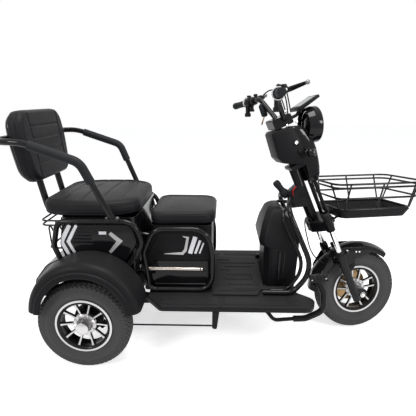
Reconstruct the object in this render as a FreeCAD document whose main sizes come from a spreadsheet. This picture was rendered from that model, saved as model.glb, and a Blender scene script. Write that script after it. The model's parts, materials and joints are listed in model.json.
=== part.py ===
"""Electric tricycle: one steered front wheel, two rear wheels, two cushions.

Lengths are millimetres. +X points forward, +Y to the rider's left and +Z up.
Stations along X are written from the rear axle; every piece is then moved so
that the origin lies on the floor under the middle of the whole vehicle.
"""
import FreeCAD, Part
import math
import os

Vector = FreeCAD.Vector
Rotation = FreeCAD.Rotation
Placement = FreeCAD.Placement

# alias, value, meaning
SIZES = (
    ("MiddleStation", 549.3, "rear axle to the middle of the overall length"),
    ("Wheelbase", 1179, "rear axle to front axle"),
    ("HalfTrack", 321, "middle to the centre plane of a rear wheel"),
    ("TyreRadius", 190, "outer radius of every tyre"),
    ("TyreWidth", 78, "section width of every tyre"),
    ("CrownHalf", 21, "half width of the tyre crown"),
    ("CrownRound", 20, "radius between tyre crown and shoulder"),
    ("ShoulderDrop", 14, "tyre shoulder below the crown"),
    ("BeadRadius", 104, "radius where the tyre sits on the rim"),
    ("FlangeRadius", 115, "outer radius of the rim flange"),
    ("RimWidth", 62, "rim width over the flanges"),
    ("RimWall", 5, "thickness of the rim barrel"),
    ("HubRadius", 34, "radius of the wheel hub"),
    ("FrontAxleRadius", 6, "front axle"),
    ("RearAxleRadius", 9, "rear stub axle"),
    ("AxleClearance", 0.05, "radial running clearance of a wheel bore"),
    ("SpokeCount", 10, "windows in a wheel disc"),
    ("SpokeDisc", 14, "thickness of the spoked disc"),
    ("HubFaceGap", 6, "wheel hub to what stands beside it"),
    ("CasterAngle", 23.2, "steering axis leaning back, degrees"),
    ("ForkOffset", 65, "front axle ahead of the steering axis"),
    ("ClampOffset", 30, "fork legs ahead of the steering axis"),
    ("SteerAngle", 12.5, "steering turned left as parked, degrees"),
    ("HeadLow", 398, "lower end of the head tube along the axis"),
    ("HeadHigh", 650, "upper end of the head tube along the axis"),
    ("StemRadius", 14, "steering stem"),
    ("StemClearance", 0.05, "radial running clearance of the stem"),
    ("HeadWall", 9, "wall of the head tube"),
    ("HeadsetGap", 0.8, "head tube ends to the clamps"),
    ("LegSpacing", 82, "middle to a fork leg"),
    ("LegRadius", 17, "lower fork leg"),
    ("StanchionRadius", 11, "fork stanchion"),
    ("LegTop", 224, "upper end of the lower leg along the axis"),
    ("CrownThick", 44, "height of the lower clamp"),
    ("RailHeight", 219, "centre height of the frame rails"),
    ("RailRadius", 15, "frame rail"),
    ("RailSpacing", 150, "middle to a frame rail"),
    ("RailFront", 860, "front end of the frame rails"),
    ("DeckBottom", 234, "underside of the deck"),
    ("DeckTop", 258, "upper face of the running boards"),
    ("DeckRear", 236, "rear tip of the running boards"),
    ("DeckFront", 940, "front end of the running boards"),
    ("DeckHalfWidth", 303, "middle to the outer edge of a running board"),
    ("MatThick", 6, "rubber mat"),
    ("MatHalfWidth", 212, "half width of the mat"),
    ("PodRear", 735, "rear face of the pod at the deck"),
    ("PodFront", 868, "front face of the pod at the deck"),
    ("PodHalfWidth", 128, "half width of the pod at the deck"),
    ("PodGap", 5, "gap round the foot of the pod"),
    ("BoxTubeRadius", 11, "tube of the side hoops"),
    ("BatteryRear", 212, "rear face of the battery box"),
    ("BatteryFront", 508, "front face of the battery box"),
    ("BatteryHalfWidth", 166, "half width of the battery box"),
    ("BatteryHeight", 136, "height of the battery box"),
    ("StoreHeight", 160, "height of the driver's storage box"),
    ("BoxWall", 3, "wall of the storage boxes"),
    ("DriverBoxRear", 250, "rear face of the driver's box"),
    ("DriverBoxHalfWidth", 163, "half width of the driver's box"),
    ("SeatGap", 0.3, "running gap under a cushion"),
    ("DriverSeatRear", 248, "rear edge of the driver's cushion"),
    ("DriverSeatFront", 524, "front edge of the driver's cushion"),
    ("DriverSeatThick", 58, "thickness of the driver's cushion"),
    ("BenchBoxRear", -100, "rear face of the bench box"),
    ("BenchBoxFront", 205, "front face of the bench box"),
    ("BenchBoxHalfWidth", 226, "half width of the bench box"),
    ("BenchBoxBottom", 372, "underside of the bench box"),
    ("BenchBoxTop", 606, "top of the bench box"),
    ("PanelBulge", 24, "bulge of a bench side panel"),
    ("BenchSeatRear", -186, "rear edge of the bench cushion"),
    ("BenchSeatFront", 210, "front edge of the bench cushion"),
    ("BenchSeatThick", 70, "thickness of the bench cushion"),
    ("BackrestHalfWidth", 205, "half width of the backrest"),
    ("BackrestLow", 735, "lower edge of the backrest"),
    ("BackrestHeight", 292, "height of the backrest"),
    ("BackrestThick", 62, "thickness of the backrest pad"),
    ("BackrestFace", -190, "lower front edge of the backrest"),
    ("BackrestLean", 7, "backrest leaning back, degrees"),
    ("ShellThick", 26, "depth of the backrest shell"),
    ("BowRadius", 12.5, "armrest tube"),
    ("BowHeight", 913, "height of the bow behind the backrest"),
    ("PostRadius", 14, "backrest post"),
    ("PostSpacing", 90, "middle to a backrest post"),
    ("FenderStation", 20, "centre of a rear fender arc"),
    ("FenderHeight", 255, "height of the centre of a rear fender arc"),
    ("FenderRadius", 222, "outer radius of a rear fender"),
    ("FenderArch", 166, "radius of the opening in its outer face"),
    ("FenderOuter", 405, "middle to the outer face of a rear fender"),
    ("FenderWall", 4, "wall of a rear fender"),
    ("MotorRadius", 72, "drive motor"),
    ("MotorLength", 150, "length of the drive motor"),
    ("AxleTubeRadius", 24, "rear axle tube"),
    ("BarRadius", 11, "handlebar"),
    ("GripRadius", 16, "handlebar grip"),
    ("BarHalfWidth", 332, "middle to the end of a grip"),
    ("GripLength", 118, "length of a grip"),
    ("LampRadius", 77, "headlight"),
    ("LampDepth", 58, "depth of the headlight drum"),
    ("HeadBoxHalfWidth", 52, "half width of the lock box on the steering head"),
    ("CowlHalfWidth", 47, "half width of the front cowl"),
    ("CowlWall", 6, "side wall of the front cowl"),
    ("BasketWire", 4.5, "radius of a basket wire"),
    ("BasketRear", 988, "rear edge of the basket rim"),
    ("BasketFront", 1406, "front edge of the basket rim"),
    ("BasketHalfWidth", 160, "half width of the basket rim"),
    ("BasketTop", 706, "height of the basket rim"),
    ("TrayHeight", 586, "height of the tray edge"),
    ("BasketTaper", 44, "basket narrower at the tray than at the rim"),
    ("StayForward", 27, "cowl stays ahead of the fork legs"),
    ("StaySpacing", 31, "middle to a cowl stay"),
    ("StayRadius", 8, "cowl stay"),
    ("BarClampLow", 840, "underside of the handlebar clamp along the axis"),
    ("FrontFenderRadius", 216, "radius of the front fender"),
    ("FrontFenderHalfWidth", 52, "half width of the front fender"),
)

doc = FreeCAD.newDocument("ElectricTricycle")
sheet = doc.addObject("Spreadsheet::Sheet", "Sizes")
for row, (alias, value, meaning) in enumerate(SIZES, start=1):
    sheet.set("A%d" % row, meaning)
    sheet.set("B%d" % row, str(value))
    sheet.setAlias("B%d" % row, alias)
doc.recompute()


def size(alias):
    """Value of one cell of the sheet."""
    return float(sheet.get(alias))


def expression(text):
    """Expression in which each word in braces is a cell of the sheet."""
    return text.replace("{", "Sizes.").replace("}", "")


# Places that several pieces share, worked out from the sheet
CASTER = math.radians(size("CasterAngle"))
AXIS_UP = Vector(-math.sin(CASTER), 0, math.cos(CASTER))
AXIS_FORWARD = Vector(math.cos(CASTER), 0, math.sin(CASTER))
STEER = math.radians(size("SteerAngle"))
LEAN = math.asin(math.sin(STEER) * math.sin(CASTER))
SHOULDER_ANGLE = math.atan2(size("ShoulderDrop"), size("TyreWidth") / 2 - 2 - size("CrownHalf"))
CROWN_FLAT = size("CrownHalf") - size("CrownRound") * math.tan(SHOULDER_ANGLE / 2)
TURNED_RADIUS = ((size("TyreRadius") - size("CrownRound")) * math.cos(LEAN) + CROWN_FLAT * math.sin(LEAN)
                 + size("CrownRound"))
TURNED_DROP = size("ForkOffset") * math.sin(CASTER) * (1 - math.cos(STEER))
FRONT_AXLE = Vector(size("Wheelbase"), 0, TURNED_RADIUS + TURNED_DROP)
AXIS_FOOT = FRONT_AXLE - AXIS_FORWARD * size("ForkOffset")
REAR_AXLE = Vector(0, 0, size("TyreRadius"))
SHIFT = Vector(-size("MiddleStation"), 0, 0)
STORE_BOTTOM = size("DeckTop") + size("BatteryHeight")
STORE_TOP = STORE_BOTTOM + size("StoreHeight")
CROWN_TOP = size("HeadLow") - size("HeadsetGap")
CROWN_LOW = CROWN_TOP - size("CrownThick")
STEM_TOP = size("BarClampLow") + 8
BACK_SLOPE = math.radians(size("BackrestLean"))
BOW_DEPTH = size("BackrestThick") + size("ShellThick") + 2 * size("SeatGap") + size("BowRadius")
BOW_STATION = (size("BackrestFace") - (size("BowHeight") - size("BackrestLow")) * math.tan(BACK_SLOPE)
               - BOW_DEPTH / math.cos(BACK_SLOPE))
BENCH_HOOP = size("BenchBoxHalfWidth") + 20
BENCH_SEAT_HALF = size("BenchBoxHalfWidth") + 2
CLEVIS = BENCH_HOOP + 16
ARM_SPACING = BENCH_HOOP + 46
FENDER_INNER = BENCH_HOOP + size("BoxTubeRadius")
DRIVER_HOOP = size("DriverBoxHalfWidth") + 19
SIDES = (1, -1)

fixed = Placement(SHIFT, Rotation())
steer_turn = Rotation(AXIS_UP, size("SteerAngle"))
steered = Placement(AXIS_FOOT - steer_turn.multVec(AXIS_FOOT) + SHIFT, steer_turn)
nodes = []


def axis_point(forward, side, along):
    """Point given in the frame of the steering axis."""
    return AXIS_FOOT + AXIS_FORWARD * forward + Vector(0, side, 0) + AXIS_UP * along


def fork_point(forward, side, along):
    """Point given from the line through the fork legs, which the clamps carry ahead of the axis."""
    return axis_point(forward + size("ClampOffset"), side, along)


def corner_arc(before, corner, after, radius):
    """Ends and middle of the arc that rounds one corner."""
    back = (before - corner).normalize()
    ahead = (after - corner).normalize()
    half = back.getAngle(ahead) / 2
    reach = radius / math.tan(half)
    middle_line = (back + ahead).normalize()
    centre = corner + middle_line * (radius / math.sin(half))
    return corner + back * reach, centre - middle_line * radius, corner + ahead * reach


def run_of_edges(points, closed):
    """Lines between (x, y, z, radius) points, joined by tangent arcs."""
    places = [Vector(p[0], p[1], p[2]) for p in points]
    radii = [p[3] if len(p) > 3 else 0 for p in points]
    count = len(places)
    edges = []
    arcs = {}
    for i in range(count):
        inner = closed or 0 < i < count - 1
        if inner and radii[i] > 0:
            arcs[i] = corner_arc(places[i - 1], places[i], places[(i + 1) % count], radii[i])
    for i in range(count if closed else count - 1):
        follow = (i + 1) % count
        start = arcs[i][2] if i in arcs else places[i]
        end = arcs[follow][0] if follow in arcs else places[follow]
        if start.distanceToPoint(end) > 0.001:
            edges.append(Part.LineSegment(start, end))
        if follow in arcs:
            edges.append(Part.Arc(*arcs[follow]))
    return edges


def wire(points, closed=False):
    """Wire of lines and tangent arcs."""
    return Part.Wire([edge.toShape() for edge in run_of_edges(points, closed)])


def rod(points, radius, closed=False):
    """Round bar along a run of points."""
    path = wire(points, closed)
    first = path.OrderedEdges[0]
    start = first.valueAt(first.FirstParameter)
    direction = first.tangentAt(first.FirstParameter)
    if first.Orientation == "Reversed":
        start = first.valueAt(first.LastParameter)
        direction = first.tangentAt(first.LastParameter) * -1
    section = Part.Wire([Part.makeCircle(radius, start, direction)])
    return path.makePipeShell([section], True, False)


def slab(outline, direction):
    """Closed outline of points carried along a direction."""
    return Part.Face(wire(outline, True)).extrude(direction)


def side_slab(outline, low, high):
    """Side view outline (x, z, radius) made a slab between two y values."""
    points = [(p[0], low, p[1], p[2] if len(p) > 2 else 0) for p in outline]
    return slab(points, Vector(0, high - low, 0))


def axis_slab(outline, low, high):
    """Side view outline (forward, along, radius) from the line of the fork legs."""
    points = []
    for corner in outline:
        place = fork_point(corner[0], low, corner[1])
        points.append((place.x, place.y, place.z, corner[2] if len(corner) > 2 else 0))
    return slab(points, Vector(0, high - low, 0))


def mirrored(shape):
    """The same shape on the other side of the vehicle."""
    return shape.mirror(Vector(0, 0, 0), Vector(0, 1, 0))


def fused(shapes):
    """One shape from several that meet."""
    return shapes[0].multiFuse(shapes[1:]).removeSplitter()


def add_feature(label, shape, placement=fixed):
    """Sub-part whose shape is worked out from the sheet."""
    piece = doc.addObject("Part::Feature", label)
    piece.Label = label
    piece.Shape = shape
    piece.Placement = placement.multiply(piece.Placement)
    nodes.append(piece)
    return piece


def start_body(label, placement=fixed):
    """Empty body of one sub-part."""
    body = doc.addObject("PartDesign::Body", label)
    body.Label = label
    body.Placement = placement
    nodes.append(body)
    return body


def add_sketch(body, role, name, offset=None):
    """Sketch on one of the body's own planes, raised by an expression."""
    sketch = body.newObject("Sketcher::SketchObject", name)
    plane = [f for f in body.Origin.OriginFeatures if f.Role == role][0]
    sketch.AttachmentSupport = (plane, [""])
    sketch.MapMode = "FlatFace"
    if offset:
        sketch.setExpression("AttachmentOffset.Base.z", expression(offset))
    return sketch


def draw_outline(sketch, corners):
    """Rounded outline (x, y, radius) in the sketch."""
    points = [(c[0], c[1], 0, c[2] if len(c) > 2 else 0) for c in corners]
    edges = run_of_edges(points, True)
    sketch.addGeometry(edges, False)


def add_pad(body, sketch, name, length_text, symmetric=False, backwards=False):
    """Pad of a sketch with its length bound to the sheet."""
    pad = body.newObject("PartDesign::Pad", name)
    pad.Profile = sketch
    pad.Midplane = symmetric
    pad.Reversed = backwards
    pad.setExpression("Length", expression(length_text))
    return pad


def add_pocket(body, sketch, name, length_text, symmetric=False, backwards=False):
    """Pocket of a sketch with its depth bound to the sheet."""
    pocket = body.newObject("PartDesign::Pocket", name)
    pocket.Profile = sketch
    pocket.Midplane = symmetric
    pocket.Reversed = backwards
    pocket.setExpression("Length", expression(length_text))
    return pocket


def add_revolution(body, sketch, name):
    """Full turn of a sketch about its own horizontal axis."""
    turned = body.newObject("PartDesign::Revolution", name)
    turned.Profile = sketch
    turned.ReferenceAxis = (sketch, ["H_Axis"])
    turned.Angle = 360
    return turned


def round_edges(body, base, name, radius, chosen):
    """Fillet on the edges of the base that the test chooses."""
    doc.recompute()
    names = ["Edge%d" % (i + 1) for i, edge in enumerate(base.Shape.Edges) if chosen(edge)]
    fillet = body.newObject("PartDesign::Fillet", name)
    fillet.Base = (base, names)
    fillet.Radius = radius
    return fillet


def at_height(height):
    """Test for edges that lie wholly at one height."""
    def chosen(edge):
        box = edge.BoundBox
        return abs(box.ZMin - height) < 0.01 and abs(box.ZMax - height) < 0.01
    return chosen


# Wheels

def wheel_placement(centre, placement, outward):
    """Wheel modelled about its own X axis, turned to spin about Y."""
    turn = Rotation(Vector(0, 0, 1), 90 * outward)
    return placement.multiply(Placement(centre, turn))


def make_tyre(label, placement):
    """Tyre turned from its section, seated on the rim."""
    body = start_body(label, placement)
    sketch = add_sketch(body, "XY_Plane", label + "_section")
    half = size("TyreWidth") / 2
    seat = size("RimWidth") / 2 - size("RimWall")
    bead = size("BeadRadius")
    crown = size("TyreRadius")
    corners = (
        (-seat, bead, 0),
        (seat, bead, 0),
        (seat, bead + 12, 0),
        (half, bead + 34, 26),
        (half - 2, crown - size("ShoulderDrop"), 12),
        (size("CrownHalf"), crown, size("CrownRound")),
        (-size("CrownHalf"), crown, size("CrownRound")),
        (-half + 2, crown - size("ShoulderDrop"), 12),
        (-half, bead + 34, 26),
        (-seat, bead + 12, 0),
    )
    draw_outline(sketch, corners)
    add_revolution(body, sketch, label + "_turned")
    return body


def make_rim(label, placement, axle_alias, disc_offset, hub_half):
    """Rim barrel, flanges, hub and a disc with a ring of windows."""
    body = start_body(label, placement)
    half = size("RimWidth") / 2
    wall = size("RimWall")
    bead = size("BeadRadius")
    flange = size("FlangeRadius")
    hub = size("HubRadius")
    bore = size(axle_alias) + size("AxleClearance")
    neck = bore + 11
    boss = half - 6
    disc_low = disc_offset - size("SpokeDisc") / 2
    disc_high = disc_offset + size("SpokeDisc") / 2
    barrel = bead - wall
    corners = (
        (-hub_half, bore),
        (hub_half, bore),
        (hub_half, neck),
        (boss, neck),
        (boss, hub),
        (disc_high, hub + 6),
        (disc_high, barrel - 4),
        (half, barrel + 2),
        (half, flange),
        (half - wall, flange),
        (half - wall, bead),
        (-half + wall, bead),
        (-half + wall, flange),
        (-half, flange),
        (-half, barrel + 2),
        (disc_low, barrel - 4),
        (disc_low, hub + 6),
        (-boss, hub),
        (-boss, neck),
        (-hub_half, neck),
    )
    sketch = add_sketch(body, "XY_Plane", label + "_section")
    draw_outline(sketch, corners)
    turned = add_revolution(body, sketch, label + "_turned")
    body.Tip = turned
    window = add_sketch(body, "YZ_Plane", label + "_window")
    inner = hub + 12
    outer = barrel - 6
    pitch = 2 * math.pi / size("SpokeCount")
    spoke = 7.0
    low_half = inner * math.tan(pitch / 2) - spoke / 2
    high_half = outer * math.tan(pitch / 2) * 0.97 - spoke / 2
    draw_outline(window, ((-low_half, inner, 3), (low_half, inner, 3),
                          (high_half, outer, 6), (-high_half, outer, 6)))
    cut = add_pocket(body, window, label + "_cut", "2 * {RimWidth}", True)
    pattern = body.newObject("PartDesign::PolarPattern", label + "_windows")
    pattern.Originals = [cut]
    pattern.Axis = ([f for f in body.Origin.OriginFeatures if f.Role == "X_Axis"][0], [""])
    pattern.Angle = 360
    pattern.setExpression("Occurrences", expression("{SpokeCount}"))
    body.Tip = pattern
    return body


LUG_INNER = 12
front_wheel = wheel_placement(FRONT_AXLE, steered, -1)
make_tyre("front_tyre", front_wheel)
make_rim("front_rim", front_wheel, "FrontAxleRadius", 0, size("LegSpacing") - LUG_INNER - size("HubFaceGap"))
for side_name, side in (("left", 1), ("right", -1)):
    place = wheel_placement(Vector(0, side * size("HalfTrack"), size("TyreRadius")), fixed, side)
    make_tyre("rear_%s_tyre" % side_name, place)
    make_rim("rear_%s_rim" % side_name, place, "RearAxleRadius", 8, size("RimWidth") / 2)


# Frame

PIVOT_END = 140


def make_frame():
    """Two rails with cross tubes, rising behind to carry the boxes."""
    height = size("RailHeight")
    spread = size("RailSpacing")
    tube = size("RailRadius")
    bench_low = size("BenchBoxBottom") - tube
    rail = (
        (size("RailFront"), spread, height),
        (size("BatteryRear") - 34, spread, height, 70),
        (104, spread, bench_low, 50),
        (size("BenchBoxRear") - 25, spread, bench_low),
    )
    parts = []
    for side in SIDES:
        parts.append(rod([(p[0], side * p[1]) + p[2:] for p in rail], tube))
    for station in (size("RailFront") - 20, 560, 290):
        parts.append(rod(((station, -spread, height), (station, spread, height)), tube * 0.8))
    for station in (66, size("BenchBoxRear") - 5):
        parts.append(rod(((station, -spread, bench_low), (station, spread, bench_low)), tube * 0.8))
    for side in SIDES:
        low, high = sorted((side * PIVOT_END, side * (PIVOT_END + 12)))
        parts.append(side_slab(((270, 168, 8), (304, 168, 8), (304, height), (270, height)), low, high))
    return fused(parts)


def make_head_tube():
    """Head tube bored for the stem, with the box gusset behind it."""
    bore = size("StemRadius") + size("StemClearance")
    low = axis_point(0, 0, size("HeadLow"))
    length = size("HeadHigh") - size("HeadLow")
    outer = Part.makeCylinder(bore + size("HeadWall"), length, low, AXIS_UP)
    gusset = side_slab(((852, 590, 6), (838, 657, 6), (872, 690), (905, 690), (940, 600)), -24, 24)
    solid = outer.fuse(gusset)
    return solid.cut(Part.makeCylinder(bore, length, low, AXIS_UP)).removeSplitter()


SHIELD_TUBE = 11
SHIELD_INNER_TUBE = 8


def shield_hoop(side):
    """Outer and inner shield tube on one side."""
    outer_foot = size("DeckTop") + SHIELD_TUBE
    inner_foot = size("DeckTop") + SHIELD_INNER_TUBE
    outer = (
        (852, side * 18, 640),
        (822, side * 150, 620, 60),
        (930, side * 200, 372, 120),
        (848, side * 200, outer_foot, 60),
        (724, side * 200, outer_foot),
    )
    inner = (
        (866, side * 18, 606),
        (796, side * 116, 590, 50),
        (900, side * 176, 376, 110),
        (828, side * 176, inner_foot, 60),
        (760, side * 176, inner_foot),
    )
    return rod(outer, SHIELD_TUBE), rod(inner, SHIELD_INNER_TUBE)


def make_pod():
    """Moulded pod inside the shield: a hood that bulges over the lower panel."""
    sections = (
        (size("DeckTop"), size("PodRear"), size("PodFront"), size("PodHalfWidth")),
        (442, 733, 880, 130),
        (470, 711, 880, 130),
        (540, 726, 862, 108),
        (590, 744, 812, 80),
        (606, 764, 800, 54),
    )
    wires = []
    for height, rear, front, half in sections:
        corners = (
            (rear, 26 - half, height, 14),
            (rear, half - 26, height, 14),
            (rear + 22, half, height, 14),
            (front, half, height, 6),
            (front, -half, height, 6),
            (rear + 22, -half, height, 14),
        )
        wires.append(wire(corners, True))
    return Part.makeLoft(wires, True, True)


frame_rails = make_frame()
add_feature("frame_rails", frame_rails)
head_tube = make_head_tube()
add_feature("head_tube", head_tube)
hoops = [shield_hoop(side) for side in SIDES]
shield_outer = fused([hoops[0][0], hoops[1][0]]).cut(head_tube)
add_feature("shield_hoops", shield_outer)
add_feature("shield_inner_hoops", fused([hoops[0][1], hoops[1][1]]).cut(head_tube))
add_feature("shield_pod", make_pod())


def make_deck():
    """Footwell floor and running boards as one moulding."""
    body = start_body("footwell_deck")
    sketch = add_sketch(body, "XY_Plane", "deck_outline", "{DeckBottom}")
    rear = size("DeckRear")
    front = size("DeckFront")
    half = size("DeckHalfWidth")
    draw_outline(sketch, (
        (rear, -222, 6), (rear + 64, -half, 30), (front - 30, -half, 40), (front, -half + 70, 40),
        (front - 70, -172, 30), (front - 70, 172, 30), (front, half - 70, 40),
        (front - 30, half, 40), (rear + 64, half, 30), (rear, 222, 6),
    ))
    pad = add_pad(body, sketch, "deck_pad", "{DeckTop} - {DeckBottom}")
    round_edges(body, pad, "deck_round", 7, at_height(size("DeckTop")))
    return body


def make_mat():
    """Rubber mat cut out round the foot of the pod."""
    body = start_body("deck_mat")
    sketch = add_sketch(body, "XY_Plane", "mat_outline", "{DeckTop}")
    half = size("MatHalfWidth")
    rear = size("BatteryFront") + 4
    front = size("PodFront") + 4
    notch = size("PodRear") - size("PodGap")
    cheek = size("PodHalfWidth") + size("PodGap")
    draw_outline(sketch, (
        (rear, -half, 10), (702, -half, 10), (718, -163, 10), (front, -163, 10), (front, -cheek), (notch, -cheek),
        (notch, cheek), (front, cheek), (front, 163, 10), (718, 163, 10), (702, half, 10), (rear, half, 10),
    ))
    add_pad(body, sketch, "mat_pad", "{MatThick}")
    return body


make_deck()
make_mat()


def make_open_box(label, rear, front, half, low, tall, radius):
    """Storage box open at the top, with rounded upright edges."""
    body = start_body(label)
    sketch = add_sketch(body, "XY_Plane", label + "_outline", low)
    corners = ((rear, -half, radius), (front, -half, radius), (front, half, radius), (rear, half, radius))
    draw_outline(sketch, corners)
    add_pad(body, sketch, label + "_pad", tall)
    wall = size("BoxWall")
    inside = add_sketch(body, "XY_Plane", label + "_inside", low + " + {BoxWall}")
    draw_outline(inside, ((rear + wall, -half + wall, radius - wall), (front - wall, -half + wall, radius - wall),
                          (front - wall, half - wall, radius - wall), (rear + wall, half - wall, radius - wall)))
    add_pocket(body, inside, label + "_hollow", tall, False, True)
    return body


def make_battery_box():
    """Closed battery box with a rail along each side."""
    body = start_body("battery_box")
    sketch = add_sketch(body, "XY_Plane", "battery_outline", "{DeckTop}")
    rear = size("BatteryRear")
    front = size("BatteryFront")
    half = size("BatteryHalfWidth")
    draw_outline(sketch, ((rear, -half, 20), (front, -half, 20), (front, half, 20), (rear, half, 20)))
    add_pad(body, sketch, "battery_pad", "{BatteryHeight}")
    return body


make_battery_box()
make_open_box("driver_box", size("DriverBoxRear"), size("BatteryFront"), size("DriverBoxHalfWidth"),
              "{DeckTop} + {BatteryHeight}", "{StoreHeight}", 24)
make_open_box("bench_box", size("BenchBoxRear"), size("BenchBoxFront"), size("BenchBoxHalfWidth"),
              "{BenchBoxBottom}", "{BenchBoxTop} - {BenchBoxBottom}", 30)


def driver_hoop(side):
    """Closed side hoop of the driver's box."""
    y = side * DRIVER_HOOP
    low = size("DeckTop") + size("BoxTubeRadius")
    top = STORE_TOP - size("BoxTubeRadius")
    front = size("BatteryFront") + 2
    return rod(((240, y, low, 30), (front, y, low, 60), (front, y, 430, 200), (front - 22, y, top, 70),
                (268, y, top, 60), (220, y, 440, 60)), size("BoxTubeRadius"), True)


def bench_hoop(side):
    """Closed side hoop of the bench box."""
    y = side * BENCH_HOOP
    top = size("BenchBoxTop") - size("BoxTubeRadius")
    return rod(((-104, y, top, 36), (200, y, top, 60), (234, y, 500, 60), (146, y, 372, 50),
                (-86, y, 372, 40), (-128, y, 490, 50)), size("BoxTubeRadius"), True)


def bench_panel(side):
    """Convex side panel inside the bench hoop."""
    inner = size("BenchBoxHalfWidth")
    outline = ((-92, 584, 26), (192, 584, 44), (214, 502, 46), (138, 388, 34), (-76, 388, 30), (-108, 492, 36))
    middle = (52, 486)

    def ring(share, y):
        return wire([(middle[0] + (p[0] - middle[0]) * share, side * y, middle[1] + (p[1] - middle[1]) * share,
                      p[2] * share) for p in outline], True)
    return Part.makeLoft([ring(1.0, inner), ring(1.0, inner + 10), ring(0.78, inner + size("PanelBulge"))],
                         True, True)


def driver_panel(side):
    """Pressed side panel of the driver's box."""
    inner = size("DriverBoxHalfWidth")
    outline = ((262, STORE_TOP - 24, 24), (480, STORE_TOP - 24, 40), (506, 440, 20), (500, 400, 8),
               (226, 400, 12), (214, 430, 12))
    low, high = sorted((side * inner, side * (inner + 7)))
    return side_slab(outline, low, high)


add_feature("driver_hoops", fused([driver_hoop(side) for side in SIDES]))
add_feature("driver_panels", fused([driver_panel(side) for side in SIDES]))
add_feature("bench_hoops", fused([bench_hoop(side) for side in SIDES]))
add_feature("bench_panels", fused([bench_panel(side) for side in SIDES]))


# Rear end

def make_fender(side):
    """Rear fender: arched crown with a rolled outer edge and an open arch."""
    centre = Vector(size("FenderStation"), 0, size("FenderHeight"))
    outer = size("FenderOuter")
    inner = FENDER_INNER
    wall = size("FenderWall")
    radius = size("FenderRadius")
    arch = size("FenderArch")
    section = (
        (centre.x, inner, centre.z + radius - wall),
        (centre.x, inner, centre.z + radius),
        (centre.x, outer, centre.z + radius, 36),
        (centre.x, outer, centre.z + arch),
        (centre.x, outer - wall, centre.z + arch),
        (centre.x, outer - wall, centre.z + radius - wall, 32),
    )
    face = Part.Face(wire(section, True))
    face.rotate(centre, Vector(0, 1, 0), -85)
    shell = face.revolve(centre, Vector(0, 1, 0), 170)
    return shell if side > 0 else mirrored(shell)


for side_name, side in (("left", 1), ("right", -1)):
    add_feature("rear_fender_%s" % side_name, make_fender(side))


def make_rear_axle():
    """Axle tube with a flange and a stub at each end."""
    tube_end = size("HalfTrack") - size("RimWidth") / 2 - size("HubFaceGap") - 12
    parts = [Part.makeCylinder(size("AxleTubeRadius"), 2 * tube_end, Vector(0, -tube_end, REAR_AXLE.z),
                               Vector(0, 1, 0))]
    hub_end = size("HalfTrack") + size("RimWidth") / 2
    stub_end = hub_end + 20
    for side in SIDES:
        direction = Vector(0, side, 0)
        parts.append(Part.makeCylinder(60, 12, Vector(0, side * tube_end, REAR_AXLE.z), direction))
        parts.append(Part.makeCylinder(size("RearAxleRadius"), stub_end - tube_end,
                                       Vector(0, side * tube_end, REAR_AXLE.z), direction))
        nut = Vector(0, side * (hub_end + size("HubFaceGap")), REAR_AXLE.z)
        parts.append(Part.makeCylinder(16, 10, nut, direction))
    return fused(parts)


def make_motor():
    """Drive motor as one plain block round the axle tube."""
    half = size("MotorLength") / 2
    block = Part.makeCylinder(size("MotorRadius"), 2 * half, Vector(0, -half, REAR_AXLE.z), Vector(0, 1, 0))
    bore = Part.makeCylinder(size("AxleTubeRadius"), 2 * half, Vector(0, -half, REAR_AXLE.z), Vector(0, 1, 0))
    return block.cut(bore)


ARM_INNER = 96
ARM_OUTER = 112
SHOCK_FOOT = Vector(-54, 0, 172)


def make_swing_arms():
    """Two arms from the pivot under the battery box to the axle tube."""
    arms = []
    for side in SIDES:
        low, high = sorted((side * ARM_INNER, side * ARM_OUTER))
        arm = side_slab(((-68, 212, 10), (-68, 154, 10), (304, 164, 12), (304, 200, 12), (30, 226, 20)), low, high)
        bore = Part.makeCylinder(size("AxleTubeRadius"), 30, Vector(0, low - 5, REAR_AXLE.z), Vector(0, 1, 0))
        eye = Part.makeCylinder(8, size("RailSpacing") + 20 - ARM_OUTER, SHOCK_FOOT + Vector(0, side * ARM_OUTER, 0),
                                Vector(0, side, 0))
        arms.append(arm.cut(bore).fuse(eye))
    pivot = Part.makeCylinder(9, 2 * PIVOT_END, Vector(286, -PIVOT_END, 182), Vector(0, 1, 0))
    return fused(arms + [pivot])


def make_shocks():
    """Two coil shock absorbers between the swing arms and the rear frame."""
    parts = []
    head = Vector(-80, 0, size("BenchBoxBottom") - 2 * size("RailRadius") + 6)
    along = (head - SHOCK_FOOT).normalize()
    length = (head - SHOCK_FOOT).Length
    coils = 6
    pitch = 16
    profile = [(0, 0), (13, 0), (13, 26), (24, 26)]
    for turn in range(coils):
        start = 32 + turn * pitch
        profile.extend([(24, start), (15, start + pitch / 2)])
    profile.extend([(24, 32 + coils * pitch), (24, length - 20), (11, length - 20), (11, length), (0, length)])
    outline = [(p[0], 0, p[1]) for p in profile]
    turned = Part.Face(wire(outline, True)).revolve(Vector(0, 0, 0), Vector(0, 0, 1), 360)
    turned.Placement = Placement(SHOCK_FOOT, Rotation(Vector(0, 0, 1), along))
    for side in SIDES:
        shock = turned.copy()
        shock.translate(Vector(0, side * size("RailSpacing"), 0))
        eye = Part.makeCylinder(8, 60, SHOCK_FOOT + Vector(0, side * size("RailSpacing") - 30, 0), Vector(0, 1, 0))
        parts.append(shock.cut(eye).cut(frame_rails))
    return fused(parts)


rear_axle = make_rear_axle()
add_feature("rear_axle", rear_axle)
add_feature("drive_motor", make_motor())
add_feature("swing_arms", make_swing_arms())
add_feature("rear_shocks", make_shocks())


def make_tail_guard():
    """Curved apron between the rear fenders, hung from the bench box."""
    top = size("BenchBoxRear")
    outline = (
        (top, 438), (-184, 396, 40), (-236, 330, 40), (-243, 276),
        (-239, 276), (-232, 329, 40), (-181, 392, 40), (top, 432),
    )
    half = size("BenchBoxHalfWidth") - 2
    return side_slab(outline, -half, half)


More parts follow.
